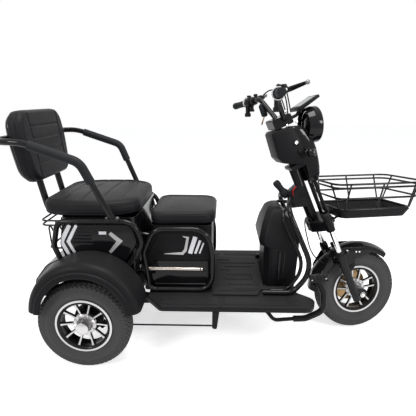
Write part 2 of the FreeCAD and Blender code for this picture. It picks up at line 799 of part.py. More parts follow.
def make_rack():
    """Wire rack: two rails and a zigzag between them."""
    rear = -212
    front = size("BenchBoxRear")
    low = 450
    half = 165
    wire_radius = 4
    parts = []
    for height in (572, 552):
        parts.append(rod(((front, -half, height), (rear, -half, height, 28), (rear, half, height, 28),
                          (front, half, height)), wire_radius))
    parts.append(rod(((front, -half, low), (rear + 22, -half, low, 28), (rear + 22, half, low, 28),
                      (front, half, low)), wire_radius))
    feet = 5
    pitch = (2 * half - 60) / (2 * feet - 2)
    for i in range(2 * feet - 2):
        y = -half + 30 + i * pitch
        ends = ((rear + 22, y, low), (rear, y + pitch, 552))
        if i % 2:
            ends = ((rear, y, 552), (rear + 22, y + pitch, low))
        parts.append(rod(ends, wire_radius * 0.9))
    return fused(parts)


add_feature("tail_guard", make_tail_guard())
add_feature("rear_rack", make_rack())


# Seats

def make_cushion(label, corners, offset, thick_alias):
    """Cushion with rounded upper and lower edges."""
    body = start_body(label)
    sketch = add_sketch(body, "XY_Plane", label + "_outline", offset)
    draw_outline(sketch, corners)
    pad = add_pad(body, sketch, label + "_pad", "{%s}" % thick_alias)
    doc.recompute()
    top = pad.Shape.BoundBox.ZMax
    low = pad.Shape.BoundBox.ZMin
    rounded = round_edges(body, pad, label + "_crown", 24, at_height(top))
    round_edges(body, rounded, label + "_foot", 12, at_height(low))
    return body


half = size("DriverBoxHalfWidth") + 2
make_cushion("driver_cushion", (
    (size("DriverSeatRear"), -half, 48), (size("DriverSeatFront"), -half + 12, 56),
    (size("DriverSeatFront"), half - 12, 56), (size("DriverSeatRear"), half, 48),
), "{DeckTop} + {BatteryHeight} + {StoreHeight} + {SeatGap}", "DriverSeatThick")
half = BENCH_SEAT_HALF
make_cushion("bench_cushion", (
    (size("BenchSeatRear"), -half + 40, 60), (-60, -half, 200), (120, -half, 110), (size("BenchSeatFront"), -half + 60, 70),
    (size("BenchSeatFront"), half - 60, 70), (120, half, 110), (-60, half, 200), (size("BenchSeatRear"), half - 40, 60),
), "{BenchBoxTop} + {SeatGap}", "BenchSeatThick")

lean = Placement(Vector(size("BackrestFace"), 0, size("BackrestLow")),
                 Rotation(Vector(0, 1, 0), -size("BackrestLean")))
backrest_place = fixed.multiply(lean)


def make_backrest():
    """Backrest pad, a rounded slab that leans back."""
    body = start_body("backrest_cushion", backrest_place)
    sketch = add_sketch(body, "YZ_Plane", "backrest_outline")
    wide = size("BackrestHalfWidth")
    tall = size("BackrestHeight")
    draw_outline(sketch, ((-wide + 22, 0, 70), (wide - 22, 0, 70), (wide, tall * 0.6, 300), (wide - 14, tall, 62),
                          (-wide + 14, tall, 62), (-wide, tall * 0.6, 300)))
    pad = add_pad(body, sketch, "backrest_pad", "{BackrestThick}", False, True)
    doc.recompute()
    box = pad.Shape.BoundBox

    def front_edge(edge):
        return edge.BoundBox.XMin > box.XMax - 0.01

    round_edges(body, pad, "backrest_crown", 22, front_edge)
    return body


def make_backrest_shell():
    """Moulded shell behind the backrest pad."""
    wide = size("BackrestHalfWidth") - 14
    tall = size("BackrestHeight") - 14
    start = -size("BackrestThick") - 0.3

    def ring(share, x):
        points = ((-wide + 22, 12, 60), (wide - 22, 12, 60), (wide, tall * 0.6, 200), (wide - 14, tall, 54),
                  (-wide + 14, tall, 54), (-wide, tall * 0.6, 200))
        middle = tall / 2
        return wire([(x, p[0] * share, middle + (p[1] - middle) * share, p[2] * share) for p in points], True)

    return Part.makeLoft([ring(1.0, start), ring(0.97, start - 12), ring(0.84, start - size("ShellThick"))],
                         True, True)


backrest_body = make_backrest()
add_feature("backrest_shell", make_backrest_shell(), backrest_place)
doc.recompute()
backrest_pad = backrest_body.Shape.copy()
backrest_pad.translate(-SHIFT)
backrest_shell = nodes[-1].Shape.copy()
backrest_shell.translate(-SHIFT)


def arm_run(side):
    """Points of the arm tube from its foot to the bow behind the backrest."""
    y = side * ARM_SPACING
    return [
        (123, side * CLEVIS, size("BenchBoxTop") + 2),
        (26, y, 838, 60),
        (-190, y, size("BowHeight"), 200),
        (BOW_STATION, y, size("BowHeight"), 95),
    ]


def make_bow():
    """Armrest bow: one tube from foot to foot round the backrest."""
    points = arm_run(1) + arm_run(-1)[::-1]
    bow = rod(points, size("BowRadius"))
    below = Part.makeBox(200, 700, 60, Vector(30, -350, size("BenchBoxTop") + 8 - 60))
    return bow.cut(below)


def make_clevis(side):
    """Bracket between the bench hoop and the foot of the arm tube."""
    low, high = sorted((side * (BENCH_HOOP - 6), side * (CLEVIS + 16)))
    return Part.makeBox(56, high - low, 8, Vector(94, low, size("BenchBoxTop")))


def make_arm_pad(side):
    """Moulded pad clipped over the arm tube."""
    foot, bend, back = [Vector(*p[:3]) for p in arm_run(side)[:3]]
    radius = arm_run(side)[1][3]
    start = bend + (foot - bend) * 0.34
    end = bend + (back - bend) * 0.84
    run = (tuple(start), tuple(bend) + (radius,), tuple(end))
    return rod(run, size("BowRadius") + 5).cut(armrest_bow)


def make_posts():
    """Two posts that carry the backrest."""
    posts = []
    for side in SIDES:
        y = side * size("PostSpacing")
        posts.append(rod(((-244, y, 800), (-203, y, size("BenchBoxTop") - 16, 44), (-100, y, size("BenchBoxTop") - 16)),
                         size("PostRadius")))
    return fused(posts).cut(backrest_pad).cut(backrest_shell)


armrest_bow = make_bow()
add_feature("armrest_bow", armrest_bow)
add_feature("arm_brackets", fused([make_clevis(side) for side in SIDES]))
for side_name, side in (("left", 1), ("right", -1)):
    add_feature("arm_pad_%s" % side_name, make_arm_pad(side))
add_feature("backrest_posts", make_posts())


# Small pieces on the frame

def make_handle_post():
    """Round grip on a boss above the gusset."""
    foot = Vector(842, 0, 634)
    top = Vector(784, 0, 706)
    along = (top - foot).normalize()
    grip = fused([Part.makeCylinder(16, (top - foot).Length, foot, along),
                  Part.makeCylinder(20, 22, foot + along * 14, along)])
    return grip.cut(head_tube).cut(shield_outer)


def make_pedal():
    """Brake pedal plate on an arm that curves under the deck."""
    plate = side_slab(((905, 352, 3), (972, 362, 3), (972, 370, 3), (905, 360, 3)), -278, -217)
    arm = rod(((938, -236, 354), (968, -240, 290, 60), (972, -240, 210, 44), (900, -240, 172, 60), (850, -240, 170)), 13)
    tail = rod(((852, -240, 170), (770, -240, 162, 30), (735, -220, 200, 12), (735, -155, 212)), 8)
    return fused([plate, arm, tail]).cut(frame_rails)


def make_linkage():
    """Park brake arm under the deck with its rod to the rear brake."""
    arm = side_slab(((512, size("DeckBottom"), 0), (510, 132, 8), (530, 126, 8), (544, size("DeckBottom"), 0)), -262, -240)
    pull = rod(((522, -251, 138), (56, -251, 138)), 3.5)
    drum_face = size("HalfTrack") - size("RimWidth") / 2 - size("HubFaceGap") - 12
    lever = side_slab(((-6, 196, 4), (46, 128, 6), (66, 144, 6), (16, 206, 4)), -drum_face, -248)
    return fused([arm, pull, lever]).cut(rear_axle)


add_feature("handle_post", make_handle_post())
add_feature("brake_pedal", make_pedal())
add_feature("brake_linkage", make_linkage())


# Steering

def axis_cylinder(forward, side, low, high, radius):
    """Round bar parallel to the steering axis."""
    return Part.makeCylinder(radius, high - low, fork_point(forward, side, low), AXIS_UP)


def make_crown():
    """Stem, lower clamp and upper clamp in one, with the two stays of the cowl."""
    half = size("LegSpacing")
    behind = -size("ClampOffset")
    plan = ((behind - 32, -24, 14), (behind - 32, 24, 14), (-17, half, 10), (18, half, 10), (40, 44, 12),
            (40, -44, 12), (18, -half, 10), (-17, -half, 10))
    points = []
    for forward, side, radius in plan:
        place = fork_point(forward, side, CROWN_LOW)
        points.append((place.x, place.y, place.z, radius))
    clamp = slab(points, AXIS_UP * size("CrownThick"))
    stem = axis_cylinder(behind, 0, CROWN_LOW, STEM_TOP, size("StemRadius"))
    upper_low = size("HeadHigh") + size("HeadsetGap")
    upper_high = size("HeadHigh") + 18
    stay_side = size("StaySpacing") + size("StayRadius") + 1
    upper = axis_slab(((behind - 24, upper_low, 4), (44, upper_low, 4), (44, upper_high, 4), (behind - 24, upper_high, 4)),
                      -stay_side, stay_side)
    parts = [clamp, stem, upper]
    for side in SIDES:
        parts.append(axis_cylinder(size("StayForward"), side * size("StaySpacing"), CROWN_LOW + 18,
                                   size("HeadHigh") + 10, size("StayRadius")))
        parts.append(axis_cylinder(0, side * half, CROWN_LOW - 6, CROWN_TOP + 4, size("StanchionRadius") + 8))
    parts.append(axis_slab(((20, CROWN_LOW + 8), (46, CROWN_LOW + 8), (46, CROWN_LOW + 30), (20, CROWN_LOW + 30)), -44, 44))
    whole = fused(parts)
    for side in SIDES:
        whole = whole.cut(axis_cylinder(0, side * half, CROWN_LOW - 10, CROWN_TOP - 4, size("StanchionRadius")))
    return whole


def make_stanchions():
    """Two stanchions between the lower clamp and the fork legs."""
    half = size("LegSpacing")
    return fused([axis_cylinder(0, side * half, size("LegTop") - 60, CROWN_TOP - 4, size("StanchionRadius"))
                  for side in SIDES])


def make_legs():
    """Lower legs with leading lugs and the front axle."""
    half = size("LegSpacing")
    parts = []
    for side in SIDES:
        leg = axis_cylinder(0, side * half, -16, size("LegTop"), size("LegRadius"))
        leg = leg.fuse(axis_cylinder(0, side * half, size("LegTop") - 22, size("LegTop"), size("LegRadius") + 2))
        low, high = sorted((side * (half - LUG_INNER), side * (half + 8)))
        lug = axis_slab(((-6, -16, 6), (50, -16, 14), (54, 16, 14), (-6, 60, 6)), low, high)
        leg = leg.fuse(lug)
        leg = leg.cut(axis_cylinder(0, side * half, size("LegTop") - 60, size("LegTop") + 1, size("StanchionRadius")))
        parts.append(leg)
    axle = Part.makeCylinder(size("FrontAxleRadius"), 2 * half + 30, FRONT_AXLE - Vector(0, half + 15, 0), Vector(0, 1, 0))
    return fused(parts + [axle])


fork_crown = make_crown()
add_feature("fork_crown", fork_crown, steered)
add_feature("fork_stanchions", make_stanchions(), steered)
fork_legs = make_legs()
add_feature("fork_legs", fork_legs, steered)


def bevelled(block, plane_side, amount):
    """Slab with the edges of both side faces cut back."""
    rim = []
    for edge in block.Edges:
        box = edge.BoundBox
        if box.YMax - box.YMin < 0.01 and abs(abs(box.YMax) - plane_side) < 0.01:
            rim.append(edge)
    return block.makeChamfer(amount, rim)


def make_head_box():
    """Lock box round the top of the stem, with a bevel round each side face."""
    half = size("HeadBoxHalfWidth")
    outline = ((-81, 842, 16), (15, 824, 22), (27, 780, 40), (24, 706, 30), (13, 650, 6), (-79, 700, 14), (-92, 730, 12))
    return bevelled(axis_slab(outline, -half, half), half, 5).cut(fork_crown)


def make_cowl():
    """Gloss front cowl from the lamp down to the fork stays, open behind its lower end."""
    half = size("CowlHalfWidth")
    inside = half - size("CowlWall")
    outer = ((10, 826, 8), (60, 807, 30), (89, 714, 60), (71, 606, 40), (50, 566, 14), (5, 570, 10),
             (12, 652, 4), (16, 706), (16, 780))
    shell = bevelled(axis_slab(outer, -half, half), half, 4)
    hollow = axis_slab(((-6, 690), (64, 690, 16), (64, 620, 16), (46, 560), (-6, 560)), -inside, inside)
    return shell.cut(hollow).cut(make_lamp()).cut(make_head_box()).cut(fork_crown)


LAMP_CENTRE = Vector(930, 0, 950)


def make_lamp():
    """Round drum headlight on a bracket."""
    lean_up = math.radians(5)
    forward = Vector(math.cos(lean_up), 0, math.sin(lean_up))
    rear = LAMP_CENTRE - forward * (size("LampDepth") / 2)
    radius = size("LampRadius")
    depth = size("LampDepth")
    taper = depth * 0.4
    drum = Part.makeCylinder(radius, depth - taper, rear + forward * taper, forward)
    back = Part.makeCone(radius * 0.86, radius, taper, rear, forward)
    recess = Part.makeCylinder(radius * 0.74, taper, rear, forward)
    bowl = Part.makeCone(radius * 0.3, radius * 0.6, taper * 0.7, rear + forward * (taper * 0.3), forward)
    return fused([drum, back]).cut(recess).fuse(bowl).removeSplitter()


def make_display():
    """Instrument plate tilted towards the rider on a stalk."""
    plate = side_slab(((868, 1008, 3), (944, 1064, 3), (936, 1074, 6), (860, 1018, 3)), -52, 52)
    stalk = rod(((820, 0, 968), (868, 0, 990, 14), (900, 0, 1040)), 7)
    return fused([plate, stalk]).cut(handlebar)


add_feature("head_box", make_head_box(), steered)
add_feature("front_cowl", make_cowl(), steered)
add_feature("headlight", make_lamp(), steered)


def bar_run(side):
    """Points of the handlebar from the clamp outwards."""
    grip = size("BarHalfWidth")
    table = ((-8, 20, 866, 0), (-8, 44, 868, 16), (-26, 104, 976, 40), (-84, grip, 986, 0))
    run = []
    for forward, y, along, radius in table:
        place = fork_point(forward, side * y, along)
        run.append((place.x, place.y, place.z, radius))
    return run


def make_handlebar():
    """Handlebar tube with its clamp block on the stem."""
    left = bar_run(1)[1:]
    right = bar_run(-1)[1:][::-1]
    bar = rod(right + left, size("BarRadius"))
    low = size("BarClampLow")
    block = axis_slab(((-60, low, 6), (26, low, 6), (26, low + 42, 8), (-60, low + 42, 8)), -46, 46)
    return fused([bar, block.cut(fork_crown)])


def grip_piece(side, start, end, outer, inner):
    """Sleeve round the straight outer stretch of the bar."""
    run = bar_run(side)
    tip = Vector(*run[-1][:3])
    bend = Vector(*run[-2][:3])
    inward = (bend - tip).normalize()
    sleeve = Part.makeCylinder(outer, end - start, tip + inward * start, inward)
    if inner:
        sleeve = sleeve.cut(Part.makeCylinder(inner, end - start, tip + inward * start, inward))
    return sleeve


def make_grips():
    """Two rubber grips with a flange at the inner end."""
    parts = []
    for side in SIDES:
        sleeve = grip_piece(side, -3, size("GripLength"), size("GripRadius"), 0)
        flange = grip_piece(side, size("GripLength") - 5, size("GripLength"), size("GripRadius") + 5, 0)
        bore = grip_piece(side, 0, size("GripLength") + 1, size("BarRadius"), 0)
        parts.append(sleeve.fuse(flange).cut(bore))
    return fused(parts)


def make_controls():
    """Switch housings with brake levers on both sides."""
    parts = []
    for side in SIDES:
        length = size("GripLength")
        housing = grip_piece(side, length + 6, length + 44, size("BarRadius") + 11, size("BarRadius"))
        perch = grip_piece(side, length + 48, length + 72, size("BarRadius") + 7, size("BarRadius"))
        run = bar_run(side)
        tip = Vector(*run[-1][:3])
        inward = (Vector(*run[-2][:3]) - tip).normalize()
        root = tip + inward * (length + 60)
        reach = Vector(math.cos(math.radians(20)), 0, math.sin(math.radians(20)))
        near = root + reach * 18
        knee = root + reach * 62 - inward * 16
        end = root + reach * 66 - inward * 150
        lever = rod((tuple(near), tuple(knee) + (20,), tuple(end)), 6)
        ball = Part.makeSphere(9, end)
        parts.extend([housing.fuse(perch).fuse(lever).fuse(ball)])
    return fused(parts)


handlebar = make_handlebar()
add_feature("handlebar", handlebar, steered)
add_feature("display", make_display(), steered)
add_feature("grips", make_grips(), steered)
add_feature("controls", make_controls(), steered)


def make_signals():
    """Turn signals on short stalks beside the cowl."""
    parts = []
    for side in SIDES:
        root = fork_point(36, side * size("CowlHalfWidth"), 700)
        direction = Vector(0, side, 0)
        parts.append(Part.makeCylinder(7, 22, root, direction).fuse(
            Part.makeCylinder(17, 34, root + Vector(-14, side * 34, 0), Vector(1, 0, 0.1))))
    return fused(parts)


def make_front_fender():
    """Front fender arched over the tyre with a bracket on each side."""
    radius = size("FrontFenderRadius")
    wide = size("FrontFenderHalfWidth")
    wall = 3
    section = (
        (FRONT_AXLE.x, -wide, FRONT_AXLE.z + radius - 26),
        (FRONT_AXLE.x, -wide, FRONT_AXLE.z + radius - 4, 16),
        (FRONT_AXLE.x, 0, FRONT_AXLE.z + radius + 12, 60),
        (FRONT_AXLE.x, wide, FRONT_AXLE.z + radius - 4, 16),
        (FRONT_AXLE.x, wide, FRONT_AXLE.z + radius - 26),
        (FRONT_AXLE.x, wide - wall, FRONT_AXLE.z + radius - 26),
        (FRONT_AXLE.x, wide - wall, FRONT_AXLE.z + radius - 4 - wall, 13),
        (FRONT_AXLE.x, 0, FRONT_AXLE.z + radius + 12 - wall, 57),
        (FRONT_AXLE.x, -wide + wall, FRONT_AXLE.z + radius - 4 - wall, 13),
        (FRONT_AXLE.x, -wide + wall, FRONT_AXLE.z + radius - 26),
    )
    face = Part.Face(wire(section, True))
    face.rotate(FRONT_AXLE, Vector(0, 1, 0), -88)
    shell = face.revolve(FRONT_AXLE, Vector(0, 1, 0), 124)
    brackets = []
    for side in SIDES:
        low, high = sorted((side * (wide - 1), side * (size("LegSpacing") - size("LegRadius") + 1)))
        brackets.append(axis_slab(((-12, 150, 4), (60, 150, 4), (50, 208, 10), (-12, 208, 4)), low, high))
    return fused([shell] + brackets).cut(fork_legs)


add_feature("turn_signals", make_signals(), steered)
add_feature("front_fender", make_front_fender(), steered)


def rim_loop(rear, front, half, height, radius):
    """Closed rounded rectangle of basket wire."""
    return rod(((rear, -half, height, radius), (front, -half, height, radius), (front, half, height, radius),
                (rear, half, height, radius)), size("BasketWire"), True)


def make_basket_wires():
    """Three rings of wire and the slanted uprights between them."""
    rear = size("BasketRear")
    front = size("BasketFront")
    half = size("BasketHalfWidth")
    top = size("BasketTop")
    low = size("TrayHeight") + size("BasketWire")
    taper = size("BasketTaper")
    parts = []
    for share in (1.0, 0.86, 0.45, 0.0):
        inset = (1 - share) * taper
        parts.append(rim_loop(rear + inset, front - inset, half - inset, low + (top - low) * share, 40))
    upright = 0.8 * size("BasketWire")
    within = 1.6
    for station in (rear + 62, (rear + front) / 2, front - 62):
        for side in SIDES:
            reach = half - within
            parts.append(rod(((station, side * reach, top), (station, side * (reach - taper), low)), upright))
    for y in (-half + 60, half - 60):
        parts.append(rod(((front - within, y, top), (front - within - taper, y, low)), upright))
        parts.append(rod(((rear + within, y, top), (rear + within + taper, y, low)), upright))
    return fused(parts).cut(fork_crown)


def make_basket_tray():
    """Moulded tray under the basket with its carrier bars."""
    edge = size("BasketTaper") - 3
    rear = size("BasketRear") + edge
    front = size("BasketFront") - edge
    half = size("BasketHalfWidth") - edge
    height = size("TrayHeight")

    def ring(inset, z):
        return wire(((rear + inset, -half + inset, z, 30), (front - inset, -half + inset, z, 30),
                     (front - inset, half - inset, z, 30), (rear + inset, half - inset, z, 30)), True)

    outer = Part.makeLoft([ring(0, height), ring(16, height - 34)], True, True)
    inner = Part.makeLoft([ring(4, height + 0.5), ring(19, height - 31)], True, True)
    tray = outer.cut(inner)
    bars = []
    for side in SIDES:
        end = fork_point(36, side * 38, CROWN_LOW + 19)
        bars.append(rod(((rear + 120, side * 38, height - 38), (end.x + 24, side * 38, height - 38, 20),
                         (end.x, side * 38, end.z)), 5))
    return fused([tray] + bars).cut(fork_crown)


add_feature("basket_wires", make_basket_wires(), steered)
add_feature("basket_tray", make_basket_tray(), steered)


# Tests and files

doc.recompute()
for item in doc.Objects:
    for bad in ("Invalid", "Error"):
        if bad in item.State:
            raise RuntimeError("%s is %s" % (item.Label, bad))

os.makedirs("parts", exist_ok=True)
for piece in nodes:
    shape = piece.Shape
    if shape.isNull() or not shape.isValid():
        raise RuntimeError("%s has no valid shape" % piece.Label)
    if not shape.Solids:
        raise RuntimeError("%s has no solid" % piece.Label)
    shape.exportStep("parts/%s.step" % piece.Label)
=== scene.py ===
"""Electric tricycle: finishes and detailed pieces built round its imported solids.

Stations along X are written from the rear axle, as on the drawing of the frame, and moved to the
frame's origin by MIDDLE. Pieces on the steering are made straight ahead and then turned as parked.
"""

from __future__ import annotations

import json
import logging
import math
from dataclasses import dataclass, field
from enum import Enum
from functools import partial
from typing import Callable, Iterable, Sequence

import bpy
import numpy as np
from bpy.types import ID, Material, Node, NodeSocket, NodeTree, Object
from mathutils import Matrix

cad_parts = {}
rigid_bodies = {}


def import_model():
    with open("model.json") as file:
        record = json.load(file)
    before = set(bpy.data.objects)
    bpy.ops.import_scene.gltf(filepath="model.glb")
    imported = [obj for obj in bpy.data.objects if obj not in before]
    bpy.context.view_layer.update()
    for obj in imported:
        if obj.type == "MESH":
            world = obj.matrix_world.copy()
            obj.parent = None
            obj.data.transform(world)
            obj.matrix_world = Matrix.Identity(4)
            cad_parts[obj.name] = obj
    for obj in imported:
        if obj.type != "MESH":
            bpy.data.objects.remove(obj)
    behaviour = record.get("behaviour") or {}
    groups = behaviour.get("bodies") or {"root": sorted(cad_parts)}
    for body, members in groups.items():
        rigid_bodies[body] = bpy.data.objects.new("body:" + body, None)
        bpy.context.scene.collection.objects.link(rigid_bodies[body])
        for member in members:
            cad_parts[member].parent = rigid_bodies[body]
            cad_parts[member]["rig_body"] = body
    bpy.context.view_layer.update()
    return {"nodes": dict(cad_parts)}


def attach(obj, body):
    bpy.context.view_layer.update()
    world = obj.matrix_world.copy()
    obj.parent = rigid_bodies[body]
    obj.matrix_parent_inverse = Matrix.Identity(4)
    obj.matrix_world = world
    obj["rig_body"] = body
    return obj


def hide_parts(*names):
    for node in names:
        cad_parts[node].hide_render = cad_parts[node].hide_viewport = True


LOG = logging.getLogger("tricycle")
Array = np.ndarray
Row = Sequence[float]

MIDDLE = 0.5493
CASTER = math.radians(23.2)
STEER = math.radians(12.5)
AXIS_UP = np.array([-math.sin(CASTER), 0.0, math.cos(CASTER)])
AXIS_FORWARD = np.array([math.cos(CASTER), 0.0, math.sin(CASTER)])
FRONT_AXLE = np.array([1.179, 0.0, 0.191137])
AXIS_FOOT = FRONT_AXLE - AXIS_FORWARD * 0.065
LEGS_FOOT = AXIS_FOOT + AXIS_FORWARD * 0.030
TYRE_RADIUS = 0.190
SIDES = (1, -1)
TIP = 0.0005
SEAM = 0.0035
WELT = 0.0022
LEVEL = np.array([0.0, 1.0, 0.0])


def turn_about(axis: Array, angle: float, centre: Array) -> Array:
    """Four by four matrix of a turn about a line (Rodrigues' formula).

    Args:
        axis: unit vector of the line.
        angle: turn in radians.
        centre: a point on the line.

    Returns:
        The matrix.
    """
    x, y, z = axis
    cross = np.array([[0, -z, y], [z, 0, -x], [-y, x, 0]])
    rotation = np.eye(3) + math.sin(angle) * cross + (1 - math.cos(angle)) * cross @ cross
    matrix = np.eye(4)
    matrix[:3, :3] = rotation
    matrix[:3, 3] = centre - rotation @ centre
    return matrix


def shift_by(vector: Row) -> Array:
    """Four by four matrix that moves by a vector."""
    matrix = np.eye(4)
    matrix[:3, 3] = vector
    return matrix


FIXED = shift_by((-MIDDLE, 0, 0))
STEERED = FIXED @ turn_about(AXIS_UP, STEER, AXIS_FOOT)


def legs_frame() -> Array:
    """Matrix from forward, side and along of the line of the fork legs to stations."""
    matrix = np.eye(4)
    matrix[:3, 0] = AXIS_FORWARD
    matrix[:3, 2] = AXIS_UP
    matrix[:3, 3] = LEGS_FOOT
    return matrix


FORK = STEERED @ legs_frame()


@dataclass
class Shell:
    """Closed skin of quads and end caps.

    Attributes:
        points: vertices, one row each.
        quads: rows of four vertex numbers.
        caps: polygons of more than four corners.
    """

    points: Array
    quads: Array
    caps: list[list[int]] = field(default_factory=list)

    def volume(self) -> float:
        """Signed volume: the sum of tetrahedra from the middle to every face."""
        p = self.points - self.points.mean(0)
        a, b, c, d = (p[self.quads[:, i]] for i in range(4))
        total = np.einsum("ij,ij->", a, np.cross(b, c)) + np.einsum("ij,ij->", a, np.cross(c, d))
        for cap in self.caps:
            fan = p[cap]
            total += np.einsum("j,ij->", fan[0], np.cross(fan[1:-1], fan[2:]))
        return total / 6

    def outward(self) -> Shell:
        """The same skin with every face pointing out."""
        if self.volume() >= 0:
            return self
        return Shell(self.points, self.quads[:, ::-1], [cap[::-1] for cap in self.caps])

    def moved(self, matrix: Array) -> Shell:
        """The skin taken through a four by four matrix."""
        points = self.points @ matrix[:3, :3].T + matrix[:3, 3]
        return Shell(points, self.quads, self.caps).outward()


def joined(shells: Iterable[Shell]) -> Shell:
    """One skin of several, each kept closed.

    Args:
        shells: the skins.

    Returns:
        The skin of them all.
    """
    points, quads, caps, start = [], [], [], 0
    for shell in shells:
        points.append(shell.points)
        quads.append(shell.quads + start)
        caps.extend([[i + start for i in cap] for cap in shell.caps])
        start += len(shell.points)
    return Shell(np.vstack(points), np.vstack(quads), caps)


def grid_quads(rows: int, cols: int, wrap_rows: bool, wrap_cols: bool) -> Array:
    """Quads of a grid whose rows and columns may close on themselves."""
    i, j = np.meshgrid(np.arange(rows if wrap_rows else rows - 1),
                       np.arange(cols if wrap_cols else cols - 1), indexing="ij")
    k, m = (i + 1) % rows, (j + 1) % cols
    return np.stack([i * cols + j, i * cols + m, k * cols + m, k * cols + j], -1).reshape(-1, 4)


def lofted(rings: Array, closed: bool = False) -> Shell:
    """Skin through rings of equal count, capped at both ends unless it closes.

    Args:
        rings: array of rings by points by three.
        closed: the last ring joins the first.

    Returns:
        The skin, pointing out.
    """
    rows, cols = rings.shape[:2]
    caps = [] if closed else [list(range(cols))[::-1], [(rows - 1) * cols + j for j in range(cols)]]
    return Shell(rings.reshape(-1, 3), grid_quads(rows, cols, closed, True), caps).outward()


def rounded_route(points: Sequence[Row], closed: bool = False, steps: int = 7) -> Array:
    """Points of straight runs joined by tangent arcs.

    At a corner of radius r between directions a and b, the arc's centre lies r / sin(half angle)
    along the bisector and its ends r / tan(half angle) along the runs.

    Args:
        points: rows of x, y, z and, where the corner is rounded, its radius.
        closed: the last point joins the first.
        steps: points on each arc.

    Returns:
        The run's points, one row each.
    """
    places = np.array([p[:3] for p in points], float)
    count = len(places)
    found = []
    for i in range(count):
        radius = points[i][3] if len(points[i]) > 3 else 0.0
        if radius <= 0 or (not closed and i in (0, count - 1)):
            found.append(places[i][None])
            continue
        here = places[i]
        back = places[i - 1] - here
        ahead = places[(i + 1) % count] - here
        back /= np.linalg.norm(back)
        ahead /= np.linalg.norm(ahead)
        half = math.acos(float(np.clip(back @ ahead, -1, 1))) / 2
        middle = (back + ahead) / np.linalg.norm(back + ahead)
        centre = here + middle * radius / math.sin(half)
        first = (here + back * radius / math.tan(half) - centre) / radius
        across = (here + ahead * radius / math.tan(half) - centre) / radius
        sweep = math.pi - 2 * half
        t = np.linspace(0, 1, steps)[:, None]
        found.append(centre + radius * (np.sin((1 - t) * sweep) * first + np.sin(t * sweep) * across)
                     / math.sin(sweep))
    return np.vstack(found)


def evenly(run: Array, count: int, closed: bool = True) -> Array:
    """Points at even steps of length along a run of points."""
    loop = np.vstack([run, run[:1]]) if closed else run
    reach = np.concatenate([[0], np.cumsum(np.linalg.norm(np.diff(loop, axis=0), axis=1))])
    even = np.linspace(0, reach[-1], count, endpoint=not closed)
    return np.stack([np.interp(even, reach, column) for column in loop.T], -1)


def unit_pair(axis: Array) -> tuple[Array, Array]:
    """Two unit vectors square to an axis and to each other."""
    start = np.array([0.0, 0.0, 1.0]) if abs(axis[2]) < 0.9 else np.array([1.0, 0.0, 0.0])
    first = np.cross(axis, start)
    first /= np.linalg.norm(first)
    return first, np.cross(axis, first)


def frames_along(path: Array, closed: bool) -> tuple[Array, Array]:
    """Two unit vectors across the path at each point, turned as little as possible along it.

    Args:
        path: points, one row each.
        closed: the path closes on itself.

    Returns:
        The two vectors at each point.
    """
    ahead = np.roll(path, -1, 0) - np.roll(path, 1, 0)
    if not closed:
        ahead[0], ahead[-1] = path[1] - path[0], path[-1] - path[-2]
    ahead /= np.linalg.norm(ahead, axis=1)[:, None]
    start = np.array([0.0, 0.0, 1.0]) if abs(ahead[0][2]) < 0.9 else np.array([1.0, 0.0, 0.0])
    side = np.zeros_like(path)
    current = start
    for i, direction in enumerate(ahead):
        current = current - direction * (current @ direction)
        current = current / np.linalg.norm(current)
        side[i] = current
    other = np.cross(ahead, side)
    return side, other


def swept(path: Array, profile: Array, closed: bool = False) -> Shell:
    """Skin of a flat profile carried along a path.

    Args:
        path: points, one row each.
        profile: rows of two values across the path.
        closed: the path closes on itself.

    Returns:
        The skin.
    """
    side, other = frames_along(path, closed)
    rings = (path[:, None] + side[:, None] * profile[None, :, 0, None]
             + other[:, None] * profile[None, :, 1, None])
    return lofted(rings, closed)


def tapered(centre: Array, side: Array, other: Array, width: Array, thick: Array, profile: Array) -> Shell:
    """Bar whose profile is scaled across by two widths at each point of its line.

    Args:
        centre: points of the line, one row each.
        side: unit vectors of the profile's first value.
        other: unit vectors of the profile's second value.
        width: scale of the first value at each point.
        thick: scale of the second value at each point.
        profile: rows of two values.

    Returns:
        The skin.
    """
    return lofted(centre[:, None] + side[:, None] * (width[:, None, None] * profile[None, :, 0, None])
                  + other[:, None] * (thick[:, None, None] * profile[None, :, 1, None]))


def circle(radius: float, sides: int, squash: float = 1.0) -> Array:
    """Profile of a circle or, squashed, an ellipse."""
    t = np.arange(sides) * 2 * math.pi / sides
    return np.stack([radius * np.cos(t), radius * squash * np.sin(t)], -1)


def tube(points: Sequence[Row], radius: float, closed: bool = False, sides: int = 20) -> Shell:
    """Round tube along straight runs with rounded corners."""
    return swept(rounded_route(points, closed), circle(radius, sides), closed)


def turned(profile: Sequence[Row], place: Row, direction: Row, sides: int = 40) -> Shell:
    """Skin of a profile turned about an axis.

    Args:
        profile: rows of radius and height along the axis, from one end to the other.
        place: point of the axis where the height is nought.
        direction: the axis.
        sides: points round it.

    Returns:
        The skin, capped where the profile starts and ends.
    """
    outline = np.array(profile, float)
    axis = np.array(direction, float) / np.linalg.norm(direction)
    first, second = unit_pair(axis)
    t = np.arange(sides) * 2 * math.pi / sides
    spoke = np.cos(t)[:, None] * first + np.sin(t)[:, None] * second
    rings = (np.array(place, float) + outline[:, 1, None, None] * axis
             + outline[:, 0, None, None] * spoke[None])
    return lofted(rings)


